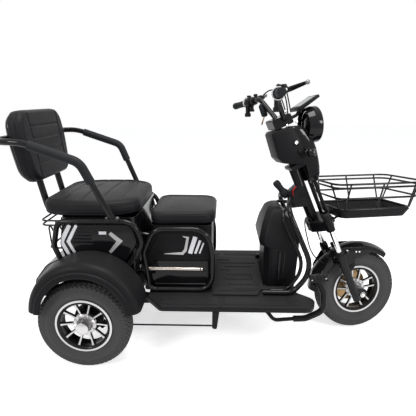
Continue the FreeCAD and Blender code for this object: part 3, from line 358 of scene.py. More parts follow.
def prism(outline: Sequence[Row], low: float, high: float, edge: float = 0.0) -> Shell:
    """Slab of a side view outline between two y values, its rims drawn in by a quarter round.

    Args:
        outline: rows of x, z and corner radius.
        low: lower y.
        high: upper y.
        edge: radius of the rims.

    Returns:
        The skin.
    """
    flat = rounded_route([(p[0], 0.0, p[1], p[2] if len(p) > 2 else 0.0) for p in outline], True)
    ahead = np.roll(flat, -1, 0) - np.roll(flat, 1, 0)
    normal = np.stack([ahead[:, 2], np.zeros(len(flat)), -ahead[:, 0]], -1)
    normal /= np.maximum(np.linalg.norm(normal, axis=1), 1e-9)[:, None]
    area = np.sum(flat[:, 0] * np.roll(flat[:, 2], -1) - np.roll(flat[:, 0], -1) * flat[:, 2])
    inward = -normal if area > 0 else normal
    turns = np.linspace(0, math.pi / 2, 4) if edge > 0 else np.array([math.pi / 2])
    rings = [flat + inward * edge * (1 - math.sin(t)) + np.array([0, low + edge * (1 - math.cos(t)), 0])
             for t in turns]
    rings += [flat + inward * edge * (1 - math.sin(t)) + np.array([0, high - edge * (1 - math.cos(t)), 0])
              for t in turns[::-1]]
    return lofted(np.array(rings))


def cheek(outline: Sequence[Row], side: int, inner: float, outer: float, edge: float) -> Shell:
    """Slab on one side of the middle, between two distances from it."""
    return prism(outline, *sorted((side * inner, side * outer)), edge)


def box(low: Row, high: Row, edge: float) -> Shell:
    """Block between two corners with its upright rims eased."""
    outline = ((low[0], low[2], edge), (high[0], low[2], edge), (high[0], high[2], edge),
               (low[0], high[2], edge))
    return prism(outline, low[1], high[1], edge)


class Grain(Enum):
    """Relief of a surface."""

    PLAIN = "plain"
    PEEL = "peel"
    PEBBLE = "pebble"
    HIDE = "hide"
    BRUSHED = "brushed"
    CAST = "cast"


def settings(node: Node, values: dict[str, float | tuple]) -> Node:
    """Gives sockets of a node their values; a colour has three."""
    for label, value in values.items():
        node.inputs[label].default_value = (*value, 1) if isinstance(value, tuple) else value
    return node


def maths(tree: NodeTree, operation: str, first: NodeSocket,
          *others: NodeSocket | float, clamp: bool = False) -> NodeSocket:
    """Result of a math node.

    Args:
        tree: where the node goes.
        operation: what it does.
        first: its first socket.
        others: further sockets or numbers.
        clamp: keeps the result between nought and one.

    Returns:
        The result's socket.
    """
    node = tree.nodes.new("ShaderNodeMath")
    node.operation = operation
    node.use_clamp = clamp
    tree.links.new(first, node.inputs[0])
    for slot, value in enumerate(others, 1):
        if isinstance(value, float):
            node.inputs[slot].default_value = value
        else:
            tree.links.new(value, node.inputs[slot])
    return node.outputs[0]


class NodeKit:
    """Shared shader node groups, each built once."""

    _groups: dict[str, NodeTree] = {}

    @classmethod
    def _start(cls, name: str, inputs: Sequence[tuple[str, str, float]],
               outputs: Sequence[tuple[str, str]]) -> NodeTree:
        """Empty group with its sockets.

        Args:
            name: the group's name.
            inputs: rows of name, socket type and first value.
            outputs: rows of name and socket type.

        Returns:
            The group.
        """
        tree = bpy.data.node_groups.new(name, "ShaderNodeTree")
        for label, kind, value in inputs:
            socket = tree.interface.new_socket(name=label, in_out="INPUT", socket_type="NodeSocket" + kind)
            if kind == "Float":
                socket.default_value = value
        for label, kind in outputs:
            tree.interface.new_socket(name=label, in_out="OUTPUT", socket_type="NodeSocket" + kind)
        cls._groups[name] = tree
        return tree

    @classmethod
    def variation(cls) -> NodeTree:
        """Cloudy change of colour and roughness, with settled dust on faces that look up."""
        if "SurfaceVariation" in cls._groups:
            return cls._groups["SurfaceVariation"]
        tree = cls._start(
            "SurfaceVariation", [("Vector", "Vector", 0), ("Normal", "Vector", 0), ("Color", "Color", 0),
            ("Dark", "Color", 0), ("Scale", "Float", 6.0), ("Roughness", "Float", 0.4),
            ("Smudge", "Float", 0.1), ("Dust", "Float", 0.02)], [("Color", "Color"), ("Roughness", "Float")])
        new, link = tree.nodes.new, tree.links.new
        source, result = new("NodeGroupInput"), new("NodeGroupOutput")
        cloud = new("ShaderNodeTexNoise")
        settings(cloud, {"Detail": 4})
        link(source.outputs["Vector"], cloud.inputs["Vector"])
        link(source.outputs["Scale"], cloud.inputs["Scale"])
        speck = settings(new("ShaderNodeTexNoise"), {"Scale": 240, "Detail": 2})
        link(source.outputs["Vector"], speck.inputs["Vector"])
        tone = new("ShaderNodeMix")
        tone.data_type = "RGBA"
        link(cloud.outputs["Fac"], tone.inputs["Factor"])
        link(source.outputs["Dark"], tone.inputs[6])
        link(source.outputs["Color"], tone.inputs[7])
        split = new("ShaderNodeSeparateXYZ")
        link(source.outputs["Normal"], split.inputs[0])
        upward = maths(tree, "MULTIPLY", split.outputs["Z"], source.outputs["Dust"], clamp=True)
        settled = maths(tree, "MULTIPLY", upward, speck.outputs["Fac"])
        dusted = new("ShaderNodeMix")
        dusted.data_type = "RGBA"
        dusted.inputs[7].default_value = (0.5, 0.48, 0.45, 1)
        link(settled, dusted.inputs["Factor"])
        link(tone.outputs[2], dusted.inputs[6])
        centred = maths(tree, "SUBTRACT", cloud.outputs["Fac"], 0.5)
        rough = maths(
            tree, "MULTIPLY_ADD", centred, source.outputs["Smudge"], source.outputs["Roughness"], clamp=True)
        link(dusted.outputs[2], result.inputs["Color"])
        link(rough, result.inputs["Roughness"])
        return tree

    @classmethod
    def relief(cls, grain: Grain) -> NodeTree:
        """Height of one kind of relief.

        Args:
            grain: the kind.

        Returns:
            A group with Vector and Size inputs and a Height output.
        """
        name = "Relief_" + grain.value
        if name in cls._groups:
            return cls._groups[name]
        tree = cls._start(name, [("Vector", "Vector", 0), ("Scale", "Float", 300.0)], [("Height", "Float")])
        new, link = tree.nodes.new, tree.links.new
        source, result = new("NodeGroupInput"), new("NodeGroupOutput")
        noise = new("ShaderNodeTexNoise")
        link(source.outputs["Scale"], noise.inputs["Scale"])
        if grain in (Grain.PEBBLE, Grain.HIDE):
            cells = new("ShaderNodeTexVoronoi")
            cells.feature = "SMOOTH_F1" if grain is Grain.PEBBLE else "DISTANCE_TO_EDGE"
            link(source.outputs["Scale"], cells.inputs["Scale"])
            bent = new("ShaderNodeMix")
            bent.data_type = "VECTOR"
            bent.inputs["Factor"].default_value = 0.004
            link(source.outputs["Vector"], bent.inputs[4])
            link(noise.outputs["Color"], bent.inputs[5])
            link(source.outputs["Vector"], noise.inputs["Vector"])
            link(bent.outputs[1], cells.inputs["Vector"])
            link(maths(tree, "POWER", cells.outputs["Distance"], 0.5), result.inputs["Height"])
            return tree
        if grain is Grain.BRUSHED:
            stretch = new("ShaderNodeMapping")
            stretch.inputs["Scale"].default_value = (1, 0.02, 1)
            link(source.outputs["Vector"], stretch.inputs["Vector"])
            link(stretch.outputs["Vector"], noise.inputs["Vector"])
        else:
            link(source.outputs["Vector"], noise.inputs["Vector"])
        noise.inputs["Detail"].default_value = 5 if grain is Grain.CAST else 1
        link(noise.outputs["Fac"], result.inputs["Height"])
        return tree


@dataclass(frozen=True)
class Finish:
    """One surface finish.

    Attributes:
        name: name of the material.
        slot: the record's material slot; not used.
        color: colour of the body of the surface.
        roughness: middle roughness.
        metallic: share of metal.
        coat: clear coat over it.
        grain: kind of relief.
        scale: cells of relief in a metre.
        depth: height of the relief in metres.
        smudge: how far the roughness wanders.
        dust: share of dust on faces that look up.
        glow: strength of light given out.
        clear: share of light let through.
        mirror: strength of the plain reflection.
    """

    name: str
    slot: str
    color: tuple[float, float, float]
    roughness: float
    metallic: float = 0.0
    coat: float = 0.0
    grain: Grain = Grain.PEEL
    scale: float = 60.0
    depth: float = 0.00005
    smudge: float = 0.12
    dust: float = 0.03
    glow: float = 0.0
    clear: float = 0.0
    mirror: float = 0.06

    def material(self) -> Material:
        """The material, built at its first use."""
        found = bpy.data.materials.get(self.name)
        if found:
            return found
        material = bpy.data.materials.new(self.name)
        material.use_nodes = True
        tree = material.node_tree
        new, link = tree.nodes.new, tree.links.new
        shader = settings(tree.nodes["Principled BSDF"], {
            "Metallic": self.metallic, "Coat Weight": self.coat, "Coat Roughness": 0.06,
            "Specular IOR Level": self.mirror, "Transmission Weight": self.clear,
            "Emission Color": self.color, "Emission Strength": self.glow})
        place = new("ShaderNodeTexCoord")
        body = new("ShaderNodeGroup")
        body.node_tree = NodeKit.variation()
        settings(body, {"Color": self.color, "Dark": tuple(c * 0.7 for c in self.color), "Scale": 9.0,
                        "Roughness": self.roughness, "Smudge": self.smudge, "Dust": self.dust})
        link(place.outputs["Object"], body.inputs["Vector"])
        link(place.outputs["Normal"], body.inputs["Normal"])
        link(body.outputs["Color"], shader.inputs["Base Color"])
        link(body.outputs["Roughness"], shader.inputs["Roughness"])
        if self.grain is not Grain.PLAIN:
            relief = new("ShaderNodeGroup")
            relief.node_tree = NodeKit.relief(self.grain)
            settings(relief, {"Scale": self.scale})
            link(place.outputs["Object"], relief.inputs["Vector"])
            bump = new("ShaderNodeBump")
            bump.inputs["Distance"].default_value = self.depth
            link(relief.outputs["Height"], bump.inputs["Height"])
            link(bump.outputs["Normal"], shader.inputs["Normal"])
        return material


GLOSS_TUBE = Finish("gloss_tube_black", "gloss_tube", (0.005, 0.005, 0.006), 0.16, coat=0.22)
GLOSS_PANEL = Finish("gloss_panel_black", "gloss_panel", (0.005, 0.005, 0.006), 0.13, coat=0.22, scale=30)
FRAME_PAINT = Finish("frame_paint_black", "frame_paint", (0.007, 0.007, 0.008), 0.34, coat=0.08)
SATIN = Finish("satin_moulding", "satin_panel", (0.008, 0.008, 0.009), 0.42, grain=Grain.PEBBLE,
               scale=900, depth=0.00008)
DECK = Finish("grained_deck", "deck_plastic", (0.011, 0.011, 0.012), 0.48, grain=Grain.PEBBLE,
              scale=420, depth=0.0003, dust=0.03)
RUBBER = Finish(
    "mat_rubber", "rubber", (0.011, 0.011, 0.012), 0.6, grain=Grain.CAST, scale=500, depth=0.0001, dust=0.05)
GRIP = Finish("grip_rubber", "rubber", (0.016, 0.017, 0.019), 0.5, grain=Grain.CAST, scale=600, depth=0.0001)
TYRE = Finish("tyre_rubber", "tyre_rubber", (0.007, 0.007, 0.007), 0.6, grain=Grain.CAST, scale=300,
              depth=0.0002, dust=0.02)
ALLOY = Finish("machined_alloy", "rim_alloy", (0.52, 0.51, 0.51), 0.3, metallic=1.0,
               grain=Grain.BRUSHED, scale=700, depth=0.00003, smudge=0.1, dust=0.0)
DARK_ALLOY = Finish("painted_alloy", "rim_alloy", (0.006, 0.006, 0.007), 0.3, coat=0.15)
CHROME = Finish("chrome", "chrome", (0.6, 0.6, 0.61), 0.12, metallic=1.0, dust=0.0, smudge=0.05)
ZINC = Finish("zinc_screw", "chrome", (0.62, 0.62, 0.6), 0.3, metallic=1.0, grain=Grain.CAST, scale=900)
BRONZE = Finish("bronze_fitting", "chrome", (0.45, 0.3, 0.15), 0.35, metallic=1.0, grain=Grain.CAST)
HIDE = Finish("seat_hide", "seat_leather", (0.011, 0.011, 0.0125), 0.4, grain=Grain.HIDE, scale=520,
              depth=0.00025, smudge=0.18, dust=0.04)
SILVER_FILM = Finish("silver_film", "satin_panel", (0.62, 0.62, 0.64), 0.28, metallic=0.3)
WHITE_PLASTIC = Finish("pale_plastic", "satin_panel", (0.6, 0.6, 0.6), 0.4)
LENS = Finish("clear_lens", "gloss_panel", (0.85, 0.87, 0.88), 0.05, clear=0.9, grain=Grain.PLAIN, dust=0.0)
RED_LENS = Finish("red_lens", "satin_panel", (0.4, 0.01, 0.012), 0.12, coat=0.6, grain=Grain.PLAIN)
SCREEN = Finish("dial_face", "satin_panel", (0.05, 0.055, 0.06), 0.12, coat=0.6)
SMOKED = Finish("smoked_lens", "satin_panel", (0.02, 0.022, 0.026), 0.1, coat=0.6, grain=Grain.PLAIN)
GREY_FILM = Finish("grey_film", "satin_panel", (0.42, 0.41, 0.41), 0.3, metallic=0.3)
GREY_METAL = Finish("grey_metal", "frame_paint", (0.2, 0.2, 0.21), 0.35, metallic=0.6)
# Pale warm metal of the battery rail: a painted highlight along the gloss ledge of the battery box.
RAIL_PAINTED_HIGHLIGHT = Finish("rail_painted_highlight", "chrome", (0.55, 0.49, 0.45), 0.22, metallic=0.9, dust=0.0)
DECK_PAD = Finish(
    "grained_pad", "deck_plastic", (0.014, 0.014, 0.015), 0.5, grain=Grain.PEBBLE, scale=190, depth=0.0012,
    dust=0.03)
RED_WIRE = Finish("red_sheath", "rubber", (0.4, 0.01, 0.01), 0.4)


def linked(name: str, data: ID | None) -> Object:
    """New object of some data, in the scene."""
    made = bpy.data.objects.new(name, data)
    bpy.context.scene.collection.objects.link(made)
    return made


def piece(name: str, shell: Shell | list[Shell], finish: Finish, sharp: float = 38.0, node: str = "",
          body: str = "chassis", place: Array = FIXED) -> Object:
    """Object of a skin, with its finish, its body and the nodes that it stands for.

    Args:
        name: the object's name.
        shell: the skin, or several to join.
        finish: its finish.
        sharp: faces that meet at more degrees than this keep a hard edge.
        node: the solid that it stands for, if any.
        body: the body that it rides on.
        place: matrix from the drawing's stations to the frame.

    Returns:
        The object.
    """
    shell = (joined(shell) if isinstance(shell, list) else shell).moved(place)
    mesh = bpy.data.meshes.new(name)
    faces = [tuple(q) for q in shell.quads.tolist()] + [tuple(c) for c in shell.caps]
    mesh.from_pydata(shell.points.tolist(), [], faces)
    mesh.polygons.foreach_set("use_smooth", np.ones(len(mesh.polygons), bool))
    mesh.set_sharp_from_angle(angle=math.radians(sharp))
    mesh.materials.append(finish.material())
    made = linked(name, mesh)
    if node:
        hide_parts(node)
    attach(made, body)
    LOG.info("%s on %s: %d faces", name, body, len(faces))
    return made


on_steering = partial(piece, body="steering", place=STEERED)
on_fork = partial(piece, body="steering", place=FORK)


def dressed(node: str, frame: dict, finish: Finish, bevel: float = 0.0015) -> Object:
    """Merged copy of a solid with eased edges, which stands for it.

    Args:
        node: the solid's name.
        finish: its finish.
        bevel: width of the eased edges in metres.

    Returns:
        The copy.
    """
    solid = frame["nodes"][node]
    mesh = solid.data.copy()
    made = linked(node + "_dressed", mesh)
    weld = made.modifiers.new("weld", "WELD")
    weld.merge_threshold = 0.00002
    graph = bpy.context.evaluated_depsgraph_get()
    merged = bpy.data.meshes.new_from_object(made.evaluated_get(graph))
    made.modifiers.clear()
    made.data = merged
    bpy.data.meshes.remove(mesh)
    merged.polygons.foreach_set("use_smooth", np.ones(len(merged.polygons), bool))
    merged.set_sharp_from_angle(angle=math.radians(35))
    merged.materials.clear()
    merged.materials.append(finish.material())
    if bevel > 0:
        eased = made.modifiers.new("eased", "BEVEL")
        eased.width = bevel
        eased.segments = 2
        eased.limit_method = "ANGLE"
        eased.angle_limit = math.radians(40)
        eased.harden_normals = False
    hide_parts(node)
    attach(made, solid["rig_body"])
    LOG.info("%s dressed: %d faces", node, len(merged.polygons))
    return made


def painted(node: str, frame: dict, finish: Finish) -> None:
    """Gives a solid that stays as it is its finish."""
    solid = frame["nodes"][node]
    solid.data.materials.clear()
    solid.data.materials.append(finish.material())
    LOG.info("%s keeps its solid", node)


def hex_bolt(place: Row, direction: Row, radius: float) -> Shell:
    """Six-sided bolt head with a washer and a chamfered top.

    Args:
        place: middle of the seat.
        direction: way that the head stands out.
        radius: radius over its corners.

    Returns:
        The skin.
    """
    washer = turned(((TIP, -0.001), (radius * 1.45, -0.001), (radius * 1.45, 0.0014), (TIP, 0.0014)),
                    place, direction, 20)
    head = turned(((TIP, 0.001), (radius, 0.001), (radius, radius * 0.9), (radius * 0.86, radius * 1.05),
                   (TIP, radius * 1.05)), place, direction, 6)
    return joined([washer, head])


@dataclass
class RoadWheel:
    """Tyre with block tread on a spoked alloy rim.

    Attributes:
        name: which wheel.
        body: the body that it is.
        centre: middle of the wheel at its station, straight ahead.
        outward: +1 where the outer side looks along +Y, -1 along -Y.
        place: matrix from stations to the frame.
        paired: spokes stand in pairs.
    """

    name: str
    body: str
    centre: Array
    outward: int
    place: Array
    paired: bool = False
    rim_half: float = 0.031
    bead: float = 0.104
    flange: float = 0.115
    spokes: int = 10
    blocks: int = 58
    groove: float = 0.0055
    rib: float = 0.0016

    def _placed(self, shell: Shell) -> Shell:
        """Shell made about the wheel's own Y axis, moved to the wheel's centre."""
        flip = np.diag([1.0, float(self.outward), 1.0, 1.0])
        return shell.moved(shift_by(self.centre) @ flip)

    def _round(self, radius: Array, across: Array, count: int) -> Shell:
        """Closed skin of a section of radii and widths carried round the wheel's axis.

        Args:
            radius: radius of each point of the section, or one row of them at each angle.
            across: place of each point along the axis, or one row of them at each angle.
            count: rings round the axis.

        Returns:
            The skin at the wheel's centre.
        """
        angle = (np.arange(count) * 2 * math.pi / count)[:, None]
        radius, across = np.broadcast_arrays(radius + 0 * angle, across)
        return self._placed(
            lofted(np.stack([radius * np.cos(angle), across, radius * np.sin(angle)], -1), True))

    def tyre(self) -> Shell:
        """Tyre skin: a section carried round the axle, with grooves cut between tread blocks.

        The section is a closed run of (y, r) points. A groove takes self.groove metres off the
        radius where a point lies near a block's edge, measured in blocks round and across the
        tread. The side walls carry short ribs and one raised line.
        """
        section = rounded_route((
            (-0.026, 0.0, 0.104), (0.026, 0.0, 0.104), (0.026, 0.0, 0.116), (0.039, 0.0, 0.138, 0.026),
            (0.037, 0.0, 0.176, 0.010), (0.021, 0.0, 0.190, 0.020), (-0.021, 0.0, 0.190, 0.020),
            (-0.037, 0.0, 0.176, 0.010), (-0.039, 0.0, 0.138, 0.026), (-0.026, 0.0, 0.116)), True, 9)
        flat = section[:, [0, 2]]
        dense = []
        for a, b in zip(flat, np.roll(flat, -1, 0)):
            count = max(1, int(np.linalg.norm(b - a) / 0.0022))
            if max(a[1], b[1]) < 0.130:
                count = max(1, count // 3)
            dense.append(a + (b - a) * np.linspace(0, 1, count, endpoint=False)[:, None])
        outline = np.vstack(dense)
        steps = self.blocks * 10
        angle = np.arange(steps) * 2 * math.pi / steps
        y, r = outline[:, 0], outline[:, 1]
        round_blocks = angle / (2 * math.pi) * self.blocks
        lane = y / 0.0125
        offset = np.where(np.floor(lane + 0.5) % 2 == 0, 0.0, 0.5)
        phase = (round_blocks[:, None] + offset[None] + 0.25 * np.sin(lane * 1.6)[None]) % 1.0
        lateral = np.abs(phase - 0.5)
        across = np.abs((lane + 0.5) % 1.0 - 0.5)[None] * np.ones_like(phase)
        groove = np.clip((lateral - 0.36) / 0.06, 0, 1)
        rib = np.clip((0.13 - across) / 0.07, 0, 1) * (np.abs(y) < 0.03)[None]
        depth = self.groove * np.maximum(groove, rib)
        tread = np.clip((r - 0.172) / 0.006, 0, 1)[None]
        radius = r[None] - depth * tread
        wall = np.clip((r - 0.150) / 0.004, 0, 1) * np.clip((0.186 - r) / 0.004, 0, 1)
        slot = np.clip((np.abs((round_blocks * 2) % 1.0 - 0.5) - 0.30) / 0.08, 0, 1)
        bead = 0.0010 * np.exp(-((r - 0.143) / 0.0014) ** 2) - 0.0010 * np.exp(-((r - 0.137) / 0.0014) ** 2)
        across = y[None] + np.sign(y)[None] * (bead[None] - self.rib * wall[None] * slot[:, None])
        return self._round(radius, across, steps)

    def barrel(self) -> Shell:
        """Rim barrel with its two flanges, turned from one closed section."""
        inner, half, wall = self.bead - 0.005, self.rim_half, 0.005
        section = rounded_route((
            (inner - 0.004, 0.0, -half + 0.006, 0.003), (inner + 0.002, 0.0, -half, 0.002),
            (self.flange, 0.0, -half, 0.003), (self.flange, 0.0, -half + wall, 0.002),
            (self.bead, 0.0, -half + wall, 0.002), (self.bead, 0.0, half - wall, 0.002),
            (self.flange, 0.0, half - wall, 0.002), (self.flange, 0.0, half, 0.003),
            (inner + 0.002, 0.0, half, 0.002), (inner - 0.004, 0.0, half - 0.006, 0.003),
            (inner, 0.0, 0.0, 0.02)), True, 4)
        return self._round(section[:, 0], section[:, 2], 96)

    def lip(self) -> Shell:
        """Bright machined lip on the outer flange, a thin ring turned from one section."""
        section = np.array([(0.1062, 0.0296), (0.1070, 0.0314), (0.1100, 0.0318), (0.1150, 0.0306),
                            (0.1156, 0.0290), (0.1150, 0.0285), (0.1070, 0.0285)])
        return self._round(section[:, 0], section[:, 1], 120)

    def spoke_set(self, bright: bool) -> Shell:
        """Ten tapered spokes from the hub to the barrel, or the thin machined faces on them.

        Args:
            bright: makes the faces.

        Returns:
            The skin.
        """
        pitch = 2 * math.pi / self.spokes
        shells = []
        for i in range(self.spokes):
            middle = i * pitch
            hub_angle = rim_angle = middle
            if self.paired:
                lean = 0.13 if i % 2 else -0.13
                hub_angle = middle + lean * 1.1
                rim_angle = middle - lean * 0.75
            start = np.array([math.cos(hub_angle), 0, math.sin(hub_angle)]) * 0.030
            end = np.array([math.cos(rim_angle), 0, math.sin(rim_angle)]) * 0.1015
            t = np.linspace(0, 1, 8)
            centre = start + (end - start) * t[:, None]
            ahead = (end - start) / np.linalg.norm(end - start)
            side = np.array([-ahead[2], 0, ahead[0]])
            width = 0.0048 + 0.0012 * (2 * t - 1) ** 2 + 0.0032 * np.clip(t - 0.8, 0, 1) / 0.2
            arch = -0.004 * np.sin(t * math.pi)
            rise = 0.006 + 0.008 * t if self.paired else 0.0065 + 0.012 * t + arch
            profile = np.array(
                [(1, 0.55), (0.8, 1), (-0.8, 1), (-1, 0.55), (-1, -0.8), (-0.7, -1), (0.7, -1), (1, -0.8)])
            thick = 0.006
            if bright:
                rise, thick, width = rise + 0.0062, 0.0008, width * 0.62
            out = LEVEL
            shells.append(tapered(centre + rise[:, None] * out, side[None], out[None], width,
                                  np.full(len(t), thick), profile))
        return self._placed(joined(shells))

    def cap(self) -> Shell:
        """Hollow hub cap over the axle nut, one closed section turned about the axle."""
        section = np.array(
            [(0.0250, 0.0305), (0.0272, 0.0320), (0.0268, 0.0460), (0.0255, 0.0500), (0.0215, 0.0525),
            (0.0012, 0.0540), (0.0010, 0.0528), (0.0205, 0.0515), (0.0240, 0.0490), (0.0250, 0.0450)])
        return self._round(section[:, 0], section[:, 1], 60)

    def hub(self, bore: float, face: float) -> Shell:
        """Hub turned from one section, with a toothed ring round its boss.

        Args:
            bore: radius of the hole for the axle.
            face: middle to each end.

        Returns:
            The skin.
        """
        profile = rounded_route(
            ((bore, 0.0, -face), (0.024, 0.0, -face), (0.034, 0.0, -0.020, 0.006),
            (0.034, 0.0, 0.008, 0.004), (0.028, 0.0, 0.016, 0.003), (0.024, 0.0, face - 0.003, 0.002),
            (0.021, 0.0, face), (bore, 0.0, face)), False, 4)
        angle = np.arange(72) * 2 * math.pi / 72
        radius, y = profile[:, 0], profile[:, 2]
        tooth = np.where((radius > 0.0335)[None], 0.0012 * np.sign(np.sin(angle * 24))[:, None], 0)
        return self._round(radius + tooth, y, len(angle))

    def ring(self) -> Shell:
        """Raised ring between hub and windows with small triangular pockets round it."""
        angle = np.arange(144) * 2 * math.pi / 144
        section = np.array(
            [(0.032, 0.004), (0.032, 0.0165), (0.034, 0.018), (0.044, 0.018), (0.046, 0.0165),
            (0.046, 0.004)])
        pocket = np.clip(np.abs(((angle * 12 / (2 * math.pi)) % 1.0) - 0.5) * 4 - 0.8, 0, 1)
        height = section[None, :, 1] - np.where(
            (section[:, 0] > 0.0325)[None] & (section[:, 1] > 0.017)[None], 0.006 * pocket[:, None], 0)
        return self._round(section[:, 0], height, len(angle))

    def build(self, axle_radius: float, hub_face: float) -> None:
        """Makes the wheel's pieces.

        Args:
            axle_radius: radius of the axle in the hub.
            hub_face: middle to the face of the hub.
        """
        make = partial(piece, body=self.body, place=self.place)
        make(self.name + "_tread", self.tyre(), TYRE, 30, self.name + "_tyre")
        dark = joined([self.barrel(), self.spoke_set(False)])
        make(self.name + "_barrel", dark, DARK_ALLOY, 32, self.name + "_rim")
        rim = joined(
            [self.spoke_set(True), self.lip(), self.hub(axle_radius + 0.00005, hub_face), self.ring()])
        if not self.paired:
            rim = joined([rim, self.cap()])
        make(self.name + "_alloy", rim, ALLOY, 32)
        valve = tube(((0.0, 0.012, 0.098), (0.004, 0.026, 0.082)), 0.003, sides=10)
        make(self.name + "_valve", self._placed(valve), RUBBER, 30)


@dataclass
class TubeWork:
    """Gloss tubes of the boxes, shield, armrest, posts, rack and basket."""

    deck: float = 0.258
    box_tube: float = 0.011
    store_top: float = 0.554
    bench_top: float = 0.606
    bow_radius: float = 0.0125
    bow_height: float = 0.913
    bow_back: float = -0.31377

    def arm_route(self, side: int) -> list[tuple[float, ...]]:
        """Points of one arm of the bow, from its foot."""
        y = side * 0.292
        return [(0.123, side * 0.262, self.bench_top + 0.008), (0.026, y, 0.838, 0.06),
                (-0.190, y, self.bow_height, 0.2), (self.bow_back, y, self.bow_height, 0.095)]

    def build(self) -> None:
        """Makes the tubes."""
        low, top = self.deck + self.box_tube, self.store_top - self.box_tube
        driver = [
            tube(((0.240, y, low, 0.03), (0.510, y, low, 0.06), (0.510, y, 0.430, 0.2),
            (0.488, y, top, 0.07), (0.268, y, top, 0.06), (0.220, y, 0.440, 0.06)), self.box_tube, True)
            for y in (0.182, -0.182)]
        piece("driver_side_hoops", driver, GLOSS_TUBE, node="driver_hoops")
        top = self.bench_top - self.box_tube
        bench = [tube(((-0.104, y, top, 0.036), (0.200, y, top, 0.06), (0.234, y, 0.500, 0.06),
                       (0.146, y, 0.372, 0.05), (-0.086, y, 0.372, 0.04), (-0.128, y, 0.490, 0.05)),
                      self.box_tube, True) for y in (0.246, -0.246)]
        piece("bench_side_hoops", bench, GLOSS_TUBE, node="bench_hoops")
        bow = tube(self.arm_route(1) + self.arm_route(-1)[::-1], self.bow_radius, sides=24)
        piece("armrest_tube", bow, GLOSS_TUBE, node="armrest_bow")
        posts = [tube(((-0.244, y, 0.800), (-0.203, y, 0.590, 0.044), (-0.100, y, 0.590)), 0.014, sides=24)
                 for y in (0.09, -0.09)]
        piece("backrest_uprights", posts, GLOSS_TUBE, node="backrest_posts")
        shields, inners = [], []
        for side in SIDES:
            shields.append(
                tube(((0.852, side * 0.018, 0.640), (0.822, side * 0.15, 0.620, 0.06),
                (0.930, side * 0.2, 0.372, 0.12), (0.848, side * 0.2, 0.269, 0.06),
                (0.724, side * 0.2, 0.269)), 0.011))
            inners.append(
                tube(((0.866, side * 0.018, 0.606), (0.796, side * 0.116, 0.590, 0.05),
                (0.900, side * 0.176, 0.376, 0.11), (0.828, side * 0.176, 0.266, 0.06),
                (0.760, side * 0.176, 0.266)), 0.008))
        piece("shield_outer_tubes", shields, GLOSS_TUBE, node="shield_hoops")
        piece("shield_inner_tubes", inners, GLOSS_TUBE, node="shield_inner_hoops")
        self._rack()
        self._basket()

    def _rack(self) -> None:
        """Rear rack: two rails and a wire bent to and fro between them."""
        rear, front, low, half, wire = -0.212, -0.100, 0.450, 0.165, 0.004
        parts = [
            tube(((front, -half, z), (rear + inset, -half, z, 0.028), (rear + inset, half, z, 0.028),
            (front, half, z)), wire, sides=14) for z, inset in ((0.572, 0), (0.552, 0), (low, 0.022))]
        pitch = (2 * half - 0.06) / 8
        corners = []
        for i in range(9):
            y = -half + 0.03 + i * pitch
            corners.append((rear + 0.022, y, low, 0.012) if i % 2 == 0 else (rear, y, 0.552, 0.012))
        parts.append(tube(corners, wire * 0.9, sides=12))
        piece("rack_wires", parts, GLOSS_TUBE, node="rear_rack")

    def _basket(self) -> None:
        """Front basket: four rings and the slanted uprights inside them."""
        rear, front, half, top, low, taper, wire = 0.988, 1.406, 0.160, 0.706, 0.5905, 0.044, 0.0045
        parts = []
        for share in (1.0, 0.86, 0.45, 0.0):
            inset = (1 - share) * taper
            z = low + (top - low) * share
            a, b, c = rear + inset, front - inset, half - inset
            parts.append(
                tube(((a, -c, z, 0.04), (b, -c, z, 0.04), (b, c, z, 0.04), (a, c, z, 0.04)), wire, True, 12))
        reach = half - 0.0016
        for x in (rear + 0.062, (rear + front) / 2, front - 0.062):
            parts += [tube(((x, side * reach, top), (x, side * (reach - taper), low)), wire * 0.8, sides=10)
                      for side in SIDES]
        for y in (-half + 0.06, half - 0.06):
            parts.append(
                tube(((front - 0.0016, y, top), (front - 0.0016 - taper, y, low)), wire * 0.8, sides=10))
            parts.append(
                tube(((rear + 0.0016, y, top), (rear + 0.0016 + taper, y, low)), wire * 0.8, sides=10))
        on_steering("basket_frame", parts, GLOSS_TUBE, node="basket_wires")


def stitched(across: Array, lines: Iterable[float]) -> Array:
    """Share of the full depth of seams at places across them: a narrow bell curve about each line."""
    depth = np.zeros_like(across)
    for line in lines:
        depth = np.maximum(depth, np.exp(-((across - line) / SEAM) ** 2))
    return depth


